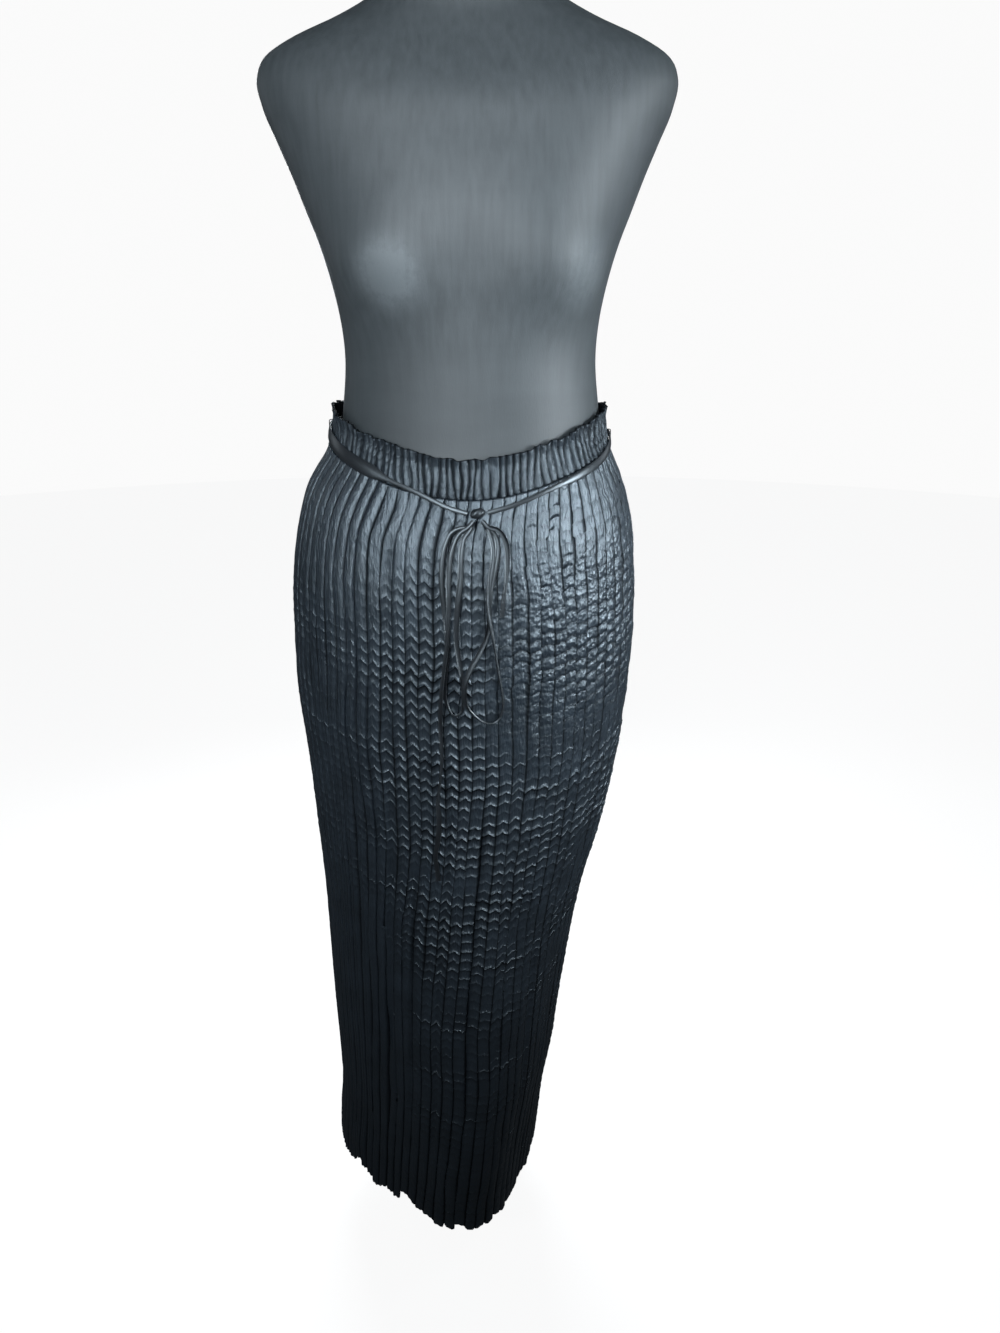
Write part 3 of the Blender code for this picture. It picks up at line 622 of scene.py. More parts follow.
def even_angles(plan, z, start, end, count):
    """Angles that part the plan's curve between start and end into stretches of one length."""
    angle = np.linspace(start, end, 721)
    x, y = plan(angle, np.full_like(angle, z))
    run = np.concatenate([[0.0], np.cumsum(np.hypot(np.diff(x), np.diff(y)))])
    angles = np.interp(np.linspace(0, run[-1], count + 1), run, angle)
    half_gap = SEAM_GAP / 2 * (end - start) / run[-1] * 1.3
    angles[0] += half_gap
    angles[-1] -= half_gap
    return angles


def band_top(angle):
    forward = np.maximum(-np.sin(angle), 0.0) ** BAND_DIP_POWER
    backward = np.maximum(np.sin(angle), 0.0) ** BAND_DIP_POWER
    return BAND_TOP_SIDE - BAND_DIP_FRONT * forward - BAND_DIP_BACK * backward


def band_lift(angle):
    """How much further the casing stands off the form at its left seam."""
    return BAND_LEFT_LIFT * np.maximum(-np.cos(angle), 0.0) ** 3


def hem_height(angle):
    """The hem's height, with bundles of pleats that hang unevenly."""
    towards = np.exp(-((turn_between(angle, POINT_ANGLE) / HEM_SPREAD) ** 2))
    bundles = np.sin(13 * angle + 1.9) + 0.7 * np.sin(23 * angle + 0.4) + 0.5 * np.sin(37 * angle)
    return HEM_SIDE - HEM_DIP * towards + HEM_UNEVEN * bundles / 2


def ridge_plan(angle, z):
    """The outermost of the casing's and the skirt's ridges."""
    form_x, form_y = form_plan(angle, z)
    band = np.hypot(form_x, form_y) + BAND_REACH + band_lift(angle)
    skirt = np.hypot(*skirt_plan(angle, z))
    band = np.where(z > band_top(angle) - BAND_HEIGHT - SEAM_GAP, band, 0.0)
    radius = np.maximum(band, skirt)
    return radius * np.cos(angle), radius * np.sin(angle)


def ridge_frame(angle, z):
    """Points on the ridges' cover, and the directions square to it."""
    step_angle, step_z = 0.02, 0.004

    def cover(turn, lift):
        return points_on(ridge_plan, angle + turn, z + lift, 0.0)

    around = cover(step_angle, 0.0) - cover(-step_angle, 0.0)
    upward = cover(0.0, step_z) - cover(0.0, -step_z)
    normal = np.cross(around, upward)
    normal = normal / np.linalg.norm(normal, axis=-1, keepdims=True)
    return cover(0.0, 0.0), normal


def through(points, step):
    """Points at an even step along a smooth curve through the given ones."""
    points = np.asarray(points, float)
    padded = np.concatenate([[2 * points[0] - points[1]], points, [2 * points[-1] - points[-2]]])
    fine = []
    for i in range(1, len(padded) - 2):
        before, start, end, after = padded[i - 1 : i + 3]
        for t in np.linspace(0, 1, 12, endpoint=False):
            bend = (2 * before - 5 * start + 4 * end - after) * t * t
            twist = (3 * start - before - 3 * end + after) * t**3
            fine.append(start + 0.5 * ((end - before) * t + (bend + twist)))
    fine.append(points[-1])
    fine = np.array(fine)
    run = np.concatenate([[0.0], np.cumsum(np.linalg.norm(np.diff(fine[:, :3], axis=0), axis=1))])
    wanted = np.linspace(0, run[-1], max(2, round(run[-1] / step)) + 1)
    return np.stack([np.interp(wanted, run, column) for column in fine.T], axis=1)


def tie_path(rows):
    """A tie's middle line on the ridges, with its widths."""
    angle = np.radians([row.angle for row in rows])
    z = np.array([row.z for row in rows])
    cover, _ = ridge_frame(angle, z)
    table = np.column_stack([cover, angle, z, [row.width for row in rows]])
    path = through(table, RIBBON_STEP)
    cover, normal = ridge_frame(path[:, 3], path[:, 4])
    return cover + normal * TIE_LIFT, normal, path[:, 5]


def front_angle(x, z):
    """The angle at which the skirt's front lies at a given distance to the right of the form's middle."""
    low, high = np.full_like(x, -math.pi + 0.2), np.full_like(x, -0.2)
    for _ in range(40):
        middle = (low + high) / 2
        short = ridge_plan(middle, z)[0] < x
        low, high = np.where(short, middle, low), np.where(short, high, middle)
    return (low + high) / 2


def bow_path(rows):
    """A bow strand's middle line, lifted off the skirt's front."""
    path = through([(row.x, row.lift, row.z) for row in rows], RIBBON_STEP)
    x, lift, z = path.T
    cover, normal = ridge_frame(front_angle(x, z), z)
    return cover + normal * lift[:, None], normal


def patchy(x, y, seed):
    """Smooth unevenness from -1 to 1, with one lattice point for each whole x and y."""
    low_x, low_y = np.floor(x), np.floor(y)
    part_x, part_y = ease(x - low_x), ease(y - low_y)

    def corner(step_x, step_y):
        mixed = (low_x + step_x) * 127.1 + (low_y + step_y) * 311.7 + (seed + SEED) * 74.7
        spin = np.sin(mixed) * 43758.5453
        return 2 * (spin - np.floor(spin)) - 1

    below = corner(0, 0) + (corner(1, 0) - corner(0, 0)) * part_x
    above = corner(0, 1) + (corner(1, 1) - corner(0, 1)) * part_x
    return below + (above - below) * part_y


def add_object(name, data):
    item = bpy.data.objects.new(name, data)
    bpy.context.scene.collection.objects.link(item)
    return item


def add_mesh(name, points, faces, material):
    mesh = bpy.data.meshes.new(name)
    mesh.from_pydata([tuple(point) for point in points], [], faces)
    mesh.materials.append(material)
    mesh.shade_smooth()
    return add_object(name, mesh)


def add_piece(name, points, faces, material, smooth_degrees=None):
    piece = add_mesh(name, points, faces, material)
    if smooth_degrees:
        piece.data.set_sharp_from_angle(angle=math.radians(smooth_degrees))
    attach(piece, "root")
    return piece


def grid_faces(rows, columns, start=0, turned=False, closed=False):
    """Faces of a grid of points in rows from the bottom up, counter-clockwise round."""
    faces = []
    for row in range(rows - 1):
        for column in range(columns if closed else columns - 1):
            after = (column + 1) % columns
            low, high = start + row * columns, start + (row + 1) * columns
            face = (low + column, low + after, high + after, high + column)
            faces.append(face[::-1] if turned else face)
    return faces


def capped_faces(rows, columns):
    """Faces of a closed tube of points in rings, with a cap at each end."""
    faces = grid_faces(rows, columns, closed=True)
    faces.append(tuple(range(columns))[::-1])
    faces.append(tuple(range((rows - 1) * columns, rows * columns)))
    return faces


def shell(name, outer, inner, material, marks):
    """A closed thin cloth from a fine outer grid and a plainer inner one, with its material's marks."""
    rows, columns = outer.shape[:2]
    inner_rows = inner.shape[0]
    start = rows * columns
    points = np.concatenate([outer.reshape(-1, 3), inner.reshape(-1, 3)])
    faces = grid_faces(rows, columns) + grid_faces(inner_rows, columns, start, turned=True)
    top, inner_top = (rows - 1) * columns, start + (inner_rows - 1) * columns
    for c in range(columns - 1):
        faces.append((c, start + c, start + c + 1, c + 1))
        faces.append((top + c + 1, inner_top + c + 1, inner_top + c, top + c))
    for column in (0, columns - 1):
        outside = [row * columns + column for row in range(rows)]
        inside = [start + row * columns + column for row in range(inner_rows)]
        rim = outside + inside[::-1]
        faces.append(tuple(rim if column else rim[::-1]))
    piece = add_piece(name, points, faces, material)
    for mark, values in marks.items():
        all_values = np.zeros(len(points))
        all_values[:start] = np.broadcast_to(values, outer.shape[:2]).ravel()
        piece.data.attributes.new(mark, "FLOAT", "POINT").data.foreach_set("value", all_values)
    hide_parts(name.replace("cloth_", ""))
    return piece


def off_edges(place, power):
    """1 over the middle of a panel, and 0 at its side edges."""
    return 1 - np.abs(2 * place - 1) ** power


def pleat_columns(panel):
    """Each column's place over the panel from 0 to 1, its pleat's number and its place across the pleat."""
    pleat = np.repeat(np.arange(PLEATS_PER_PANEL), len(PLEAT_COLUMNS))
    pleat = np.append(pleat, PLEATS_PER_PANEL - 1)
    across = np.append(np.tile(PLEAT_COLUMNS, PLEATS_PER_PANEL), 0.5)
    place = (pleat + 0.5 + across) / PLEATS_PER_PANEL
    return place, pleat + float(panel * PLEATS_PER_PANEL), across


def crease_rows(creases):
    """Each row's height over the hem from 0 to 1, its lift sharp and puffed, and its crease's number."""
    rows = [(0.0, 0.0, 0.0, 0.0)]
    for crease in range(creases):
        for row in CREASE_ROWS[::-1]:
            rows.append(((crease + 1 - row.part) / creases, row.lift, row.pillow, float(crease)))
    return [np.array(column)[:, None] for column in zip(*rows)]


def hem_line(angle, place, number, across):
    """The hem's height at each column, stepped from pleat to pleat, with a tooth at each valley."""
    steps = np.round(HEM_BUNDLES.at(number, 0.0)) + HEM_PLEATS.at(number, 0.0)
    hem = hem_height(angle) + HEM_STEP * steps * off_edges(place, 30)
    return hem + HEM_TOOTH * np.abs(2 * across) ** 1.5 * (0.6 + HEM_TEETH.at(number, 0.0))


def pleat_depth(number, z, down, flat, smooth_side, smooth_patch):
    """The pleats' depth, less where they are pressed flat or the cloth is smooth."""
    depth = PLEAT_DEPTH_TOP + (PLEAT_DEPTH - PLEAT_DEPTH_TOP) * DEEPEN_IN.at(down)
    depth = depth * (1 - FLATTEN * flat) * (1 - 0.30 * smooth_side - 0.45 * smooth_patch)
    depth = depth + 0.5 * (PLEAT_DEPTH_HEM - PLEAT_DEPTH) * DEEPEN_HEM.at(down)
    depth = depth * np.clip(1 + DEPTHS.at(number, z) + DEPTHS_SHORT.at(number, z), 0.15, 1.8)
    bundled = BUNDLES.at(number, z) > 0.25
    return depth * (1 + 0.5 * bundled * flat)


def sway(angle, z, number, below):
    """How far the cloth sways in and out, with its long folds."""
    out = SWAYS.at(number, z) * SWAY_IN.at(below)
    for row in FOLDS:
        beside = turn_between(angle, math.radians(row.angle)) / math.radians(row.width)
        ends = ease((row.top - z) / FOLD_END) * ease((z - row.bottom) / FOLD_END)
        out = out - row.depth * np.exp(-(beside**2)) * ends
    return out


def crimp_strength(number, crease, below, right_side, crisp_side):
    """How strongly each crease is pressed into each pleat."""
    strength = 0.20 + 0.88 * CHEVRONS_IN.at(below) - 0.82 * crisp_side - 0.66 * CHEVRONS_OUT.at(below)
    for level in PRESSED:
        near = np.exp(-(((below - level) / PRESSED_SPREAD) ** 2))
        strength = strength + 0.40 * near * (1 - crisp_side)
    uneven = 0.78 + CRIMP_GROUPS.at(number, crease)
    uneven = uneven + CRIMP_ROWS.at(number, crease) * (1 - 0.8 * right_side)
    uneven = uneven + (0.30 + 0.25 * right_side) * CRIMP_PLEATS.at(number, crease)
    return np.clip(uneven, 0.06, 1.5) * np.clip(strength, 0.06, 1.1)


def make_skirt_panel(name, panel, material):
    """Half of the skirt: panel 0 is the back one and panel 1 the front one."""
    place, number, across = pleat_columns(panel)
    start = panel * math.pi
    even = even_angles(skirt_plan, EVEN_HEIGHT, start, start + math.pi, PANEL_STEPS)
    angle = np.interp(place * PANEL_STEPS, np.arange(PANEL_STEPS + 1), even)
    seam = band_top(angle) - BAND_HEIGHT - SEAM_GAP
    hem = hem_line(angle, place, number, across)
    creases = int((BAND_TOP_SIDE - BAND_HEIGHT - HEM_SIDE + HEM_DIP) / CREASE_PITCH)
    up, lift, pillow, crease = crease_rows(creases)
    slant = 1 - 2 * np.abs(across)
    z = hem + (seam - hem) * up
    right_side = SMOOTH_SIDE.weight(angle)
    crisp_side = CRISP_SIDE.weight(angle)
    smooth_side = right_side * PUFFS_IN.at(seam - z) * (1 - 0.9 * PUFFS_OUT.at(seam - z))
    rise = CREASE_RISE * slant * (0.85 + RISES.at(number, 0.0)) * (1 - 0.6 * smooth_side)
    rise = rise * (0.6 + 0.4 * HEM_EDGE.at(up))
    shift = CREASE_SHIFT * right_side * SHIFTS.at(number, crease) * ROWS_EDGE.at(up)
    z = z + (rise + shift) * ROWS_EDGE.at(1 - up)
    below = seam - z

    wander = WANDERS.at(number, z) + WANDERS_SHORT.at(number, z)
    wander = wander + smooth_side * WANDERS_PUFFED.at(number, crease)
    wander = wander * WANDER_IN.at(below) * off_edges(place, 12)
    angle = angle + wander * math.pi / PLEATS_PER_PANEL

    pressed = PRESSED_FLAT.at(below)
    flat = (0.70 + 0.30 * pressed) * (1 - 0.22 * crisp_side)
    ridge = 1 - np.abs(2 * across) ** (2.6 + 2.4 * flat)
    smooth_patch = smooth_side * (1 - PATCH_OUT.at(below))
    depth = pleat_depth(number, z, below / (seam - hem), flat, smooth_side, smooth_patch)
    pleated = sway(angle, z, number, below) - depth * (1 - ridge)
    cleft = crisp_side * pressed * (across == 0.0)
    crimp = crimp_strength(number, crease, below, right_side, crisp_side)
    raised = (lift + smooth_side * (pillow - lift)) * crimp * (0.6 + 0.4 * ridge)
    crumple = CRUMPLES.at(number + across, z) + CRUMPLES_FINE.at(number + across, z)
    crumple = crumple * CRUMPLE_IN.at(below) * (1 + smooth_side)
    out = pleated - CLEFT * cleft + CREASE_HEIGHT * raised + CRUMPLE_HEIGHT * crumple

    outer = points_on(skirt_plan, angle, z, out)
    picks = np.linspace(0, len(up) - 1, LINING_ROWS).round().astype(int)
    lining = pleated - SKIRT_SHELL - 0.8 * CREASE_HEIGHT
    slanted = angle + SEAM_SLANT * (1 - off_edges(place, 60))
    inner = points_on(skirt_plan, slanted[picks], z[picks], lining[picks])
    # Painted shade: the satin darkens in each valley, along each cleft and below each crease
    marks = {
        "slant": slant - (slant - CLEFT_KEPT_LIGHT) * cleft,
        "level": up * creases,
        "crimp": crimp,
        "puff": smooth_side * (1 - 0.75 * smooth_patch),
    }
    return shell(name, outer, inner, material, marks)


def make_band_panel(name, panel, material):
    """Half of the casing, with patterns of its own in front."""
    columns = GATHERS_PER_PANEL * GATHER_COLUMNS
    place = np.linspace(0, 1, columns + 1)
    start = panel * math.pi
    even = even_angles(form_plan, BAND_TOP_SIDE, start, start + math.pi, columns)
    up = np.linspace(0, 1, BAND_LEVELS)[:, None]
    own = panel * FRONT_BAND_PATTERNS
    gather = place * GATHERS_PER_PANEL
    edges = off_edges(place, 40)
    phase = gather + (DRIFTS.at(gather, up, own) + DRIFTS_SHORT.at(gather, up, own)) * edges
    wave = np.abs(np.sin(math.pi * phase)) ** GATHER_SHARPNESS
    number = np.floor(phase)
    deep = 1 + GATHER_DEPTHS.at(number, up, own) + GATHER_GROUPS.at(gather, up, own)
    levels = [row.up for row in BAND_ROWS]
    clear = np.interp(up, levels, [row.clear for row in BAND_ROWS])
    depth = np.interp(up, levels, [row.depth for row in BAND_ROWS])
    clear = clear + band_lift(even) - BAND_TUCK * TUCK_FROM.at(up)
    ruffle = RUFFLES.at(gather, 0.0, own) + RUFFLES_WIDE.at(gather, 0.0, own)
    z = band_top(even) - BAND_HEIGHT * (1 - up) + ruffle * RUFFLE_FROM.at(up)
    face = clear + depth * (wave * deep * edges + 0.7 * (1 - edges)) + BAND_WALL
    angle = np.broadcast_to(even, z.shape)
    outer = points_on(form_plan, angle, z, face + BAND_CRUMPLES.at(gather, up, own) * edges)
    slanted = angle + SEAM_SLANT * (1 - off_edges(place, 60))
    inner = points_on(form_plan, slanted, z, face - BAND_SHELL)
    # Painted shade: the casing's colour and gloss darken between its gathers and all along its upper edge
    marks = {
        "slant": GATHER_KEPT_LIGHT * wave ** (0.85 + PINCHES.at(number, up, own)) * (up < 0.99),
        "level": up * BAND_CREASES + BAND_CREASE_BEND * wave,
        "crimp": np.clip(0.30 + BAND_CRIMPS.at(gather, up, own), 0.05, 0.8),
        "puff": 0.0,
    }
    return shell(name, outer, inner, material, marks)


def make_form(material):
    angle = np.linspace(0, TAU, FORM_COLUMNS, endpoint=False)
    z = np.linspace(FORM_ROWS[0].z, FORM_ROWS[-1].z, FORM_LEVELS)[:, None] * np.ones(FORM_COLUMNS)
    rings = points_on(form_plan, np.broadcast_to(angle, z.shape), z, 0.0)
    faces = capped_faces(FORM_LEVELS, FORM_COLUMNS)
    piece = add_piece("form_jersey", rings.reshape(-1, 3), faces, material, smooth_degrees=50)
    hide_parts("dress_form")


def ribbon_piece(name, node, centres, normals, widths, twists, cup, material):
    """A ribbon along a path, cupped across and turned about its path by the twists."""
    along = np.gradient(centres, axis=0)
    along = along / np.linalg.norm(along, axis=1, keepdims=True)
    across = np.cross(normals, along)
    across = across / np.linalg.norm(across, axis=1, keepdims=True)
    normals = np.cross(along, across)
    turn = np.asarray(twists)[:, None]
    side = across * np.cos(turn) + normals * np.sin(turn)
    face = normals * np.cos(turn) - across * np.sin(turn)
    half = np.asarray(widths)[:, None] / 2
    ring = []
    for profile, thick in ((RIBBON_PROFILE, RIBBON_DRAWN), (RIBBON_PROFILE[::-1], -RIBBON_DRAWN)):
        for sideways, bend in profile:
            ring.append(centres + side * half * sideways + face * (half * bend * cup + thick))
    rings = np.stack(ring, axis=1)
    faces = capped_faces(*rings.shape[:2])
    piece = add_piece(name, rings.reshape(-1, 3), faces, material, smooth_degrees=35)
    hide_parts(node)
    return piece


class Look:
    """A material under way: its nodes, the links between them and its shader's inputs."""

    def __init__(self, name):
        self.material = bpy.data.materials.new(name)
        self.material.use_nodes = True
        self.tree = self.material.node_tree
        self.shader = self.tree.nodes["Principled BSDF"].inputs

    def put(self, socket, value):
        """Links a node's output to the socket, or sets the socket to a plain value."""
        if isinstance(value, bpy.types.NodeSocket):
            self.tree.links.new(value, socket)
        else:
            socket.default_value = value

    def node(self, kind, inputs, **settings):
        node = self.tree.nodes.new(kind)
        for name, value in settings.items():
            setattr(node, name, value)
        for name, value in inputs.items():
            self.put(node.inputs[name], value)
        return node

    def place(self):
        return self.node("ShaderNodeTexCoord", {}).outputs["Object"]

    def scaled(self, place, scale):
        return self.node("ShaderNodeMapping", {"Vector": place, "Scale": scale}).outputs["Vector"]

    def noise(self, place, scale, detail, roughness=0.5):
        inputs = {"Vector": place, "Scale": scale, "Detail": detail, "Roughness": roughness}
        return self.node("ShaderNodeTexNoise", inputs).outputs["Fac"]

    def math(self, operation, *values):
        return self.node("ShaderNodeMath", dict(enumerate(values)), operation=operation).outputs[0]

    def ranged(self, value, low, high, to_low=0.0, to_high=1.0, kind="LINEAR"):
        inputs = {"Value": value, "From Min": low, "From Max": high, "To Min": to_low, "To Max": to_high}
        return self.node("ShaderNodeMapRange", inputs, interpolation_type=kind).outputs["Result"]

    def mixed(self, factor, low, high, kind="RGBA"):
        inputs = {"Factor": factor, "A": low, "B": high}
        return self.node("ShaderNodeMix", inputs, data_type=kind).outputs["Result"]

    def curve(self, points, value):
        """The value passed through a smooth curve through the points."""
        node = self.node("ShaderNodeFloatCurve", {"Value": value})
        line = node.mapping.curves[0]
        line.points[0].location = points[0]
        line.points[1].location = points[-1]
        for point in points[1:-1]:
            line.points.new(*point)
        node.mapping.update()
        return node.outputs["Value"]

    def bumps(self, *layers):
        """Bumps in layers, each with its height, its strength and its distance."""
        under = {}
        for height, strength, distance in layers:
            inputs = {"Height": height, "Strength": strength, "Distance": distance, **under}
            under = {"Normal": self.node("ShaderNodeBump", inputs).outputs["Normal"]}
        self.put(self.shader["Normal"], under["Normal"])


def satin_material():
    """Satin with pressed chevrons: each mark on the mesh says where a crease, a valley or a puff is, and
    its colour and gloss fall there as painted shade.
    """
    look = Look("crinkled_satin")
    place = look.place()
    mark = {}
    for name in ("slant", "level", "crimp", "puff"):
        mark[name] = look.node("ShaderNodeAttribute", {}, attribute_name=name).outputs["Fac"]
    cloud = look.noise(place, 26.0, 5.0)
    stray = look.math("MULTIPLY_ADD", look.noise(place, 240.0, 2.0), 0.28, -0.14)
    part = look.math("FRACT", look.math("ADD", mark["level"], stray))

    def between(sharp, puffed):
        """A value across one crease, between its sharp curve and its puffed one."""
        return look.mixed(mark["puff"], look.curve(sharp, part), look.curve(puffed, part), "FLOAT")

    crimped = look.math("MULTIPLY", between(CREST_CURVE, PUFF_CURVE), mark["crimp"])
    # Painted shade: the colour and the gloss fall in the pleats' valleys, below each crease and at the
    # puffs' edges
    shaded = look.math("SUBTRACT", 1.0, between(SHADE_CURVE, PUFF_SHADE_CURVE))
    lost = look.math("MULTIPLY", shaded, mark["crimp"])
    lit = look.math("MAXIMUM", look.math("SUBTRACT", 1.0, lost), 0.1)
    lit_part = look.math("MULTIPLY", look.curve(VALLEY_CURVE, mark["slant"]), lit)
    painted_shade_and_cloud = look.math("MULTIPLY", lit_part, look.math("ADD", cloud, 0.3))
    gloss = look.math("MULTIPLY_ADD", lit_part, 0.70, 0.02)
    closed = look.math("MULTIPLY_ADD", lit_part, -0.30, 0.30)
    rough = look.math("ADD", look.ranged(cloud, 0.0, 1.0, 0.34, 0.46), closed)
    look.put(look.shader["Base Color"], look.mixed(painted_shade_and_cloud, SATIN_SHADED, SATIN_LIT))
    look.put(look.shader["Specular IOR Level"], gloss)
    look.put(look.shader["Roughness"], rough)
    look.shader["Specular Tint"].default_value = SATIN_SHINE

    creases = look.noise(look.scaled(place, (1.0, 1.0, 0.20)), 420.0, 4.0)
    inputs = {"Vector": place, "Scale": 230.0, "Smoothness": 0.45}
    leather = look.node("ShaderNodeTexVoronoi", inputs, feature="SMOOTH_F1").outputs["Distance"]
    look.bumps(
        (crimped, 1.0, 0.0009),
        (look.math("MULTIPLY", leather, mark["puff"]), 0.7, 0.0015),
        (creases, 0.85, 0.0016),
        (look.noise(place, 1600.0, 2.0), 0.30, 0.0003),
    )
    return look.material


def jersey_material():
    look = Look("fine_jersey")
    place = look.place()
    cloud = look.noise(look.scaled(place, (1.0, 1.0, 3.5)), 14.0, 8.0, 0.62)
    streaks = look.noise(look.scaled(place, (1.0, 1.0, 0.10)), 170.0, 6.0)
    # Paler jersey: streaks of its own tone, and painted highlights over the bust, both fading towards the
    # waist
    highlight_mottle = look.ranged(look.noise(place, 70.0, 10.0, 0.85), 0.15, 0.80)
    streaks_and_highlights = look.math("MULTIPLY", streaks, 0.50)
    for row in BUST_HIGHLIGHTS:
        away = look.node("ShaderNodeVectorMath", {0: place, 1: row.place}, operation="DISTANCE")
        near = look.ranged(away.outputs["Value"], *HIGHLIGHT_REACH, kind="SMOOTHSTEP")
        streaks_and_highlights = look.math("MULTIPLY_ADD", look.math("MULTIPLY", near, highlight_mottle), row.strength, streaks_and_highlights)
    height = look.node("ShaderNodeSeparateXYZ", {"Vector": place}).outputs["Z"]
    streaks_and_highlights = look.math("MULTIPLY", streaks_and_highlights, look.ranged(height, *WAIST_SHADE, 0.15, kind="SMOOTHSTEP"))
    tint = look.mixed(cloud, JERSEY_DARK, JERSEY_GREY)
    look.put(look.shader["Base Color"], look.mixed(streaks_and_highlights, tint, JERSEY_STREAK_AND_HIGHLIGHT))
    look.bumps((look.noise(look.scaled(place, (1.0, 1.0, 0.22)), 900.0, 2.0), 0.35, 0.0003))
    look.shader["Roughness"].default_value = 0.62
    look.shader["Specular IOR Level"].default_value = 0.55
    return look.material


def ribbon_material(name, roughness, gloss):
    look = Look(name)
    grain = look.noise(look.place(), 1200.0, 2.0)
    look.put(look.shader["Base Color"], look.mixed(grain, RIBBON_DARK, RIBBON_PALE))
    look.bumps((grain, 0.3, 0.0002))
    look.shader["Roughness"].default_value = roughness
    look.shader["Specular IOR Level"].default_value = gloss
    look.shader["Specular Tint"].default_value = RIBBON_SHINE
    return look.material


def enamel_material():
    look = Look("black_enamel")
    look.bumps((look.node("ShaderNodeTexNoise", {"Scale": 600.0}).outputs["Fac"], 0.15, 0.0002))
    look.shader["Base Color"].default_value = ENAMEL
    look.shader["Roughness"].default_value = 0.42
    return look.material


def make_knot(material):
    """The knot: the ribbon wrapped over itself, with a slanted crossing turn."""
    x, z = np.array([KNOT.x]), np.array([KNOT.z])
    cover, normal = ridge_frame(front_angle(x, z), z)
    outward = Vector(normal[0])
    turn = outward.to_track_quat("-Y", "Z").to_matrix()
    middle = Vector(cover[0]) + outward * (KNOT_LIFT + KNOT_SIZE.y / 2)
    points = []
    for i in range(KNOT_ALONG):
        t = i / (KNOT_ALONG - 1) * 2 - 1
        belly = 1 - KNOT_CLOSING * abs(t) ** 3.2
        for k in range(KNOT_AROUND):
            a = TAU * k / KNOT_AROUND
            pinch = 1 + KNOT_PINCH * math.sin(3 * a + 5 * t)
            deep = math.cos(a) * KNOT_SIZE.y / 2 * belly * pinch
            tall = math.sin(a) * KNOT_SIZE.z / 2 * belly * pinch + KNOT_SLANT * t
            points.append(tuple(middle + turn @ Vector((t * KNOT_SIZE.x / 2, deep, tall))))
    piece = add_piece("ribbon_knot", points, capped_faces(KNOT_ALONG, KNOT_AROUND), material)
    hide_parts("bow_knot")


def make_tie(name, node, rows, material):
    centres, normals, widths = tie_path(rows)
    fine = through(np.column_stack([centres, normals, widths]), TIE_STEP)
    flat = np.zeros(len(fine))
    ribbon_piece(name, node, fine[:, :3], fine[:, 3:6], fine[:, 6], flat, TIE_CUP, material)


def make_strand(strand, material):
    """A loop or tail of the bow, with its middle line and its length."""
    centres, normals = bow_path(strand.rows)
    fine = through(np.column_stack([centres, normals]), STRAND_STEP)
    centres, normals = fine[:, :3], fine[:, 3:]
    share = np.linspace(0, 1, len(centres))
    twists = np.interp(share, np.linspace(0, 1, len(strand.turns)), np.radians(strand.turns))
    widths = BOW_WIDTH * np.interp(share, np.linspace(0, 1, len(strand.rolls)), strand.rolls)
    proud = np.abs(np.sin(twists)) * widths * 0.30
    centres = centres + normals * proud[:, None]
    piece = ribbon_piece(strand.name, strand.node, centres, normals, widths, twists, STRAND_CUP, material)
    length = float(np.linalg.norm(np.diff(centres, axis=0), axis=1).sum())
    return piece, centres, length


def make_carrier(name, node, angle, row, material):
    """A thread loop at a side seam, drawn tight over the tie."""
    cover, normal = ridge_frame(np.array([angle]), np.array([row.z]))
    outward = Vector((normal[0][0], normal[0][1], 0)).normalized()
    middle = Vector(cover[0])
    data = bpy.data.curves.new(name, "CURVE")
    data.dimensions = "3D"
    data.bevel_depth = LOOP_RADIUS
    data.bevel_resolution = 3
    data.use_fill_caps = True
    spline = data.splines.new("NURBS")
    spline.points.add(len(LOOP_BEND) - 1)
    half_height, reach = row.width / 2 + LOOP_ROOM, LOOP_OUT - LOOP_TIGHTER
    for point, (up, out) in zip(spline.points, LOOP_BEND):
        place = middle + Vector((0, 0, up * half_height)) + outward * (out * reach)
        point.co = (*place, 1.0)
    spline.use_endpoint_u = True
    data.materials.append(material)
    loop = add_object(name, data)
    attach(loop, "root")
    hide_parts(node)


def build():
    satin = satin_material()
    tape = ribbon_material("black_satin_ribbon", 0.36, 0.56)
    thread = ribbon_material("black_thread", 0.80, 0.05)
    enamel = enamel_material()
    make_form(jersey_material())
    for panel, name in enumerate(("cloth_skirt_back", "cloth_skirt_front")):
        skirt = make_skirt_panel(name, panel, satin)
    for panel, name in enumerate(("cloth_waistband_back", "cloth_waistband_front")):
        band = make_band_panel(name, panel, satin)
    make_tie("ribbon_left", "tie_left", TIE_LEFT, tape)
    make_tie("ribbon_right", "tie_right", TIE_RIGHT, tape)
    make_tie("ribbon_back", "tie_back", TIE_BACK, tape)
    make_knot(tape)
    for strand in STRANDS:
        piece, path, length = make_strand(strand, tape)
    for node in ("stand_base", "stand_pole"):
        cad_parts[node].data.materials.clear()
        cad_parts[node].data.materials.append(enamel)
    make_carrier("thread_loop_left", "carrier_left", math.pi, TIE_LEFT[0], thread)
    make_carrier("thread_loop_right", "carrier_right", 0.0, TIE_RIGHT[0], thread)


def add_light(row):
    data = bpy.data.lights.new(row.name, "AREA")
    data.spread = math.radians(row.spread)
    data.shape = "RECTANGLE"
    data.size, data.size_y = row.size
    data.energy = row.power
    data.color = LAMP_COLOUR
    light = add_object(row.name, data)
    light.location = row.place
    light.rotation_euler = (Vector(row.aim) - Vector(row.place)).to_track_quat("-Z", "Y").to_euler()


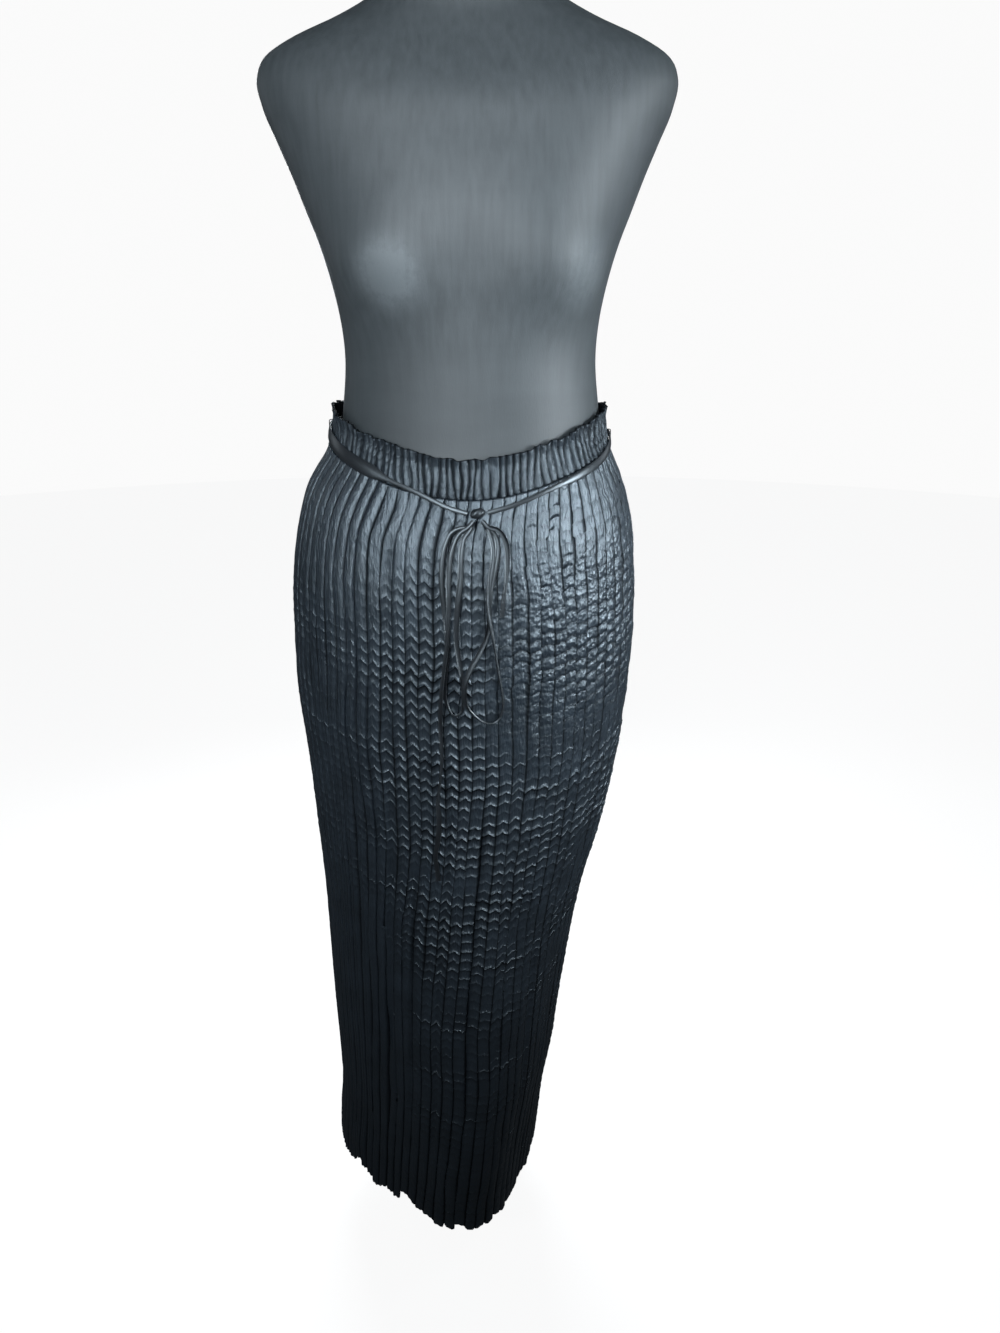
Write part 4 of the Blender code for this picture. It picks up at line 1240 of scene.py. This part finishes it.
def stage_material(name, colour, glow):
    look = Look(name)
    look.shader["Base Color"].default_value = colour
    look.shader["Roughness"].default_value = 0.85
    look.shader["Emission Color"].default_value = (1, 1, 1, 1)
    look.shader["Emission Strength"].default_value = glow
    return look.material


def add_stage(name, points, faces, material):
    item = add_mesh(name, points, faces, material)
    item.visible_diffuse = False
    item.visible_glossy = False
    item.visible_shadow = False


def stage():
    """A pale floor inside a pale round backdrop, seen the same way from every side."""
    turns = [TAU * k / STAGE_SIDES for k in range(STAGE_SIDES)]
    floor = [(FLOOR_REACH * math.cos(a), FLOOR_REACH * math.sin(a), -FLOOR_DROP) for a in turns]
    pale = stage_material("pale_floor", FLOOR_COLOUR, FLOOR_GLOW)
    add_stage("floor", floor, [tuple(range(STAGE_SIDES))], pale)
    rings = []
    bends = np.linspace(0, 1.2, 12)
    for t in bends:
        reach, lift = FLOOR_REACH - CURVE * (1 - math.cos(t)), CURVE * math.sin(t)
        rings += [(reach * math.cos(a), reach * math.sin(a), lift - BACKDROP_DROP) for a in turns]
    walls = grid_faces(len(bends), STAGE_SIDES, turned=True, closed=True)
    walls.append(tuple(range(len(rings) - STAGE_SIDES, len(rings)))[::-1])
    add_stage("backdrop", rings, walls, stage_material("pale_backdrop", BACKDROP_COLOUR, BACKDROP_GLOW))

    bpy.context.scene.view_settings.view_transform = "Standard"
    world = bpy.data.worlds.new("studio")
    bpy.context.scene.world = world
    world.use_nodes = True
    sky = world.node_tree.nodes["Background"]
    sky.inputs["Color"].default_value = SKY_COLOUR
    sky.inputs["Strength"].default_value = SKY_STRENGTH
    for row in LIGHTS:
        add_light(row)

    data = bpy.data.cameras.new("camera")
    data.sensor_width = SENSOR
    data.lens = SENSOR * FOCAL_PIXELS / IMAGE_HEIGHT
    camera = add_object("camera", data)
    camera.location = (FORM_X + CAMERA_RIGHT, FORM_Y - CAMERA_AWAY, CAMERA_HEIGHT)
    camera.rotation_euler = (math.pi / 2 - CAMERA_DOWN, 0, 0)
    bpy.context.scene.camera = camera


stage()
build()
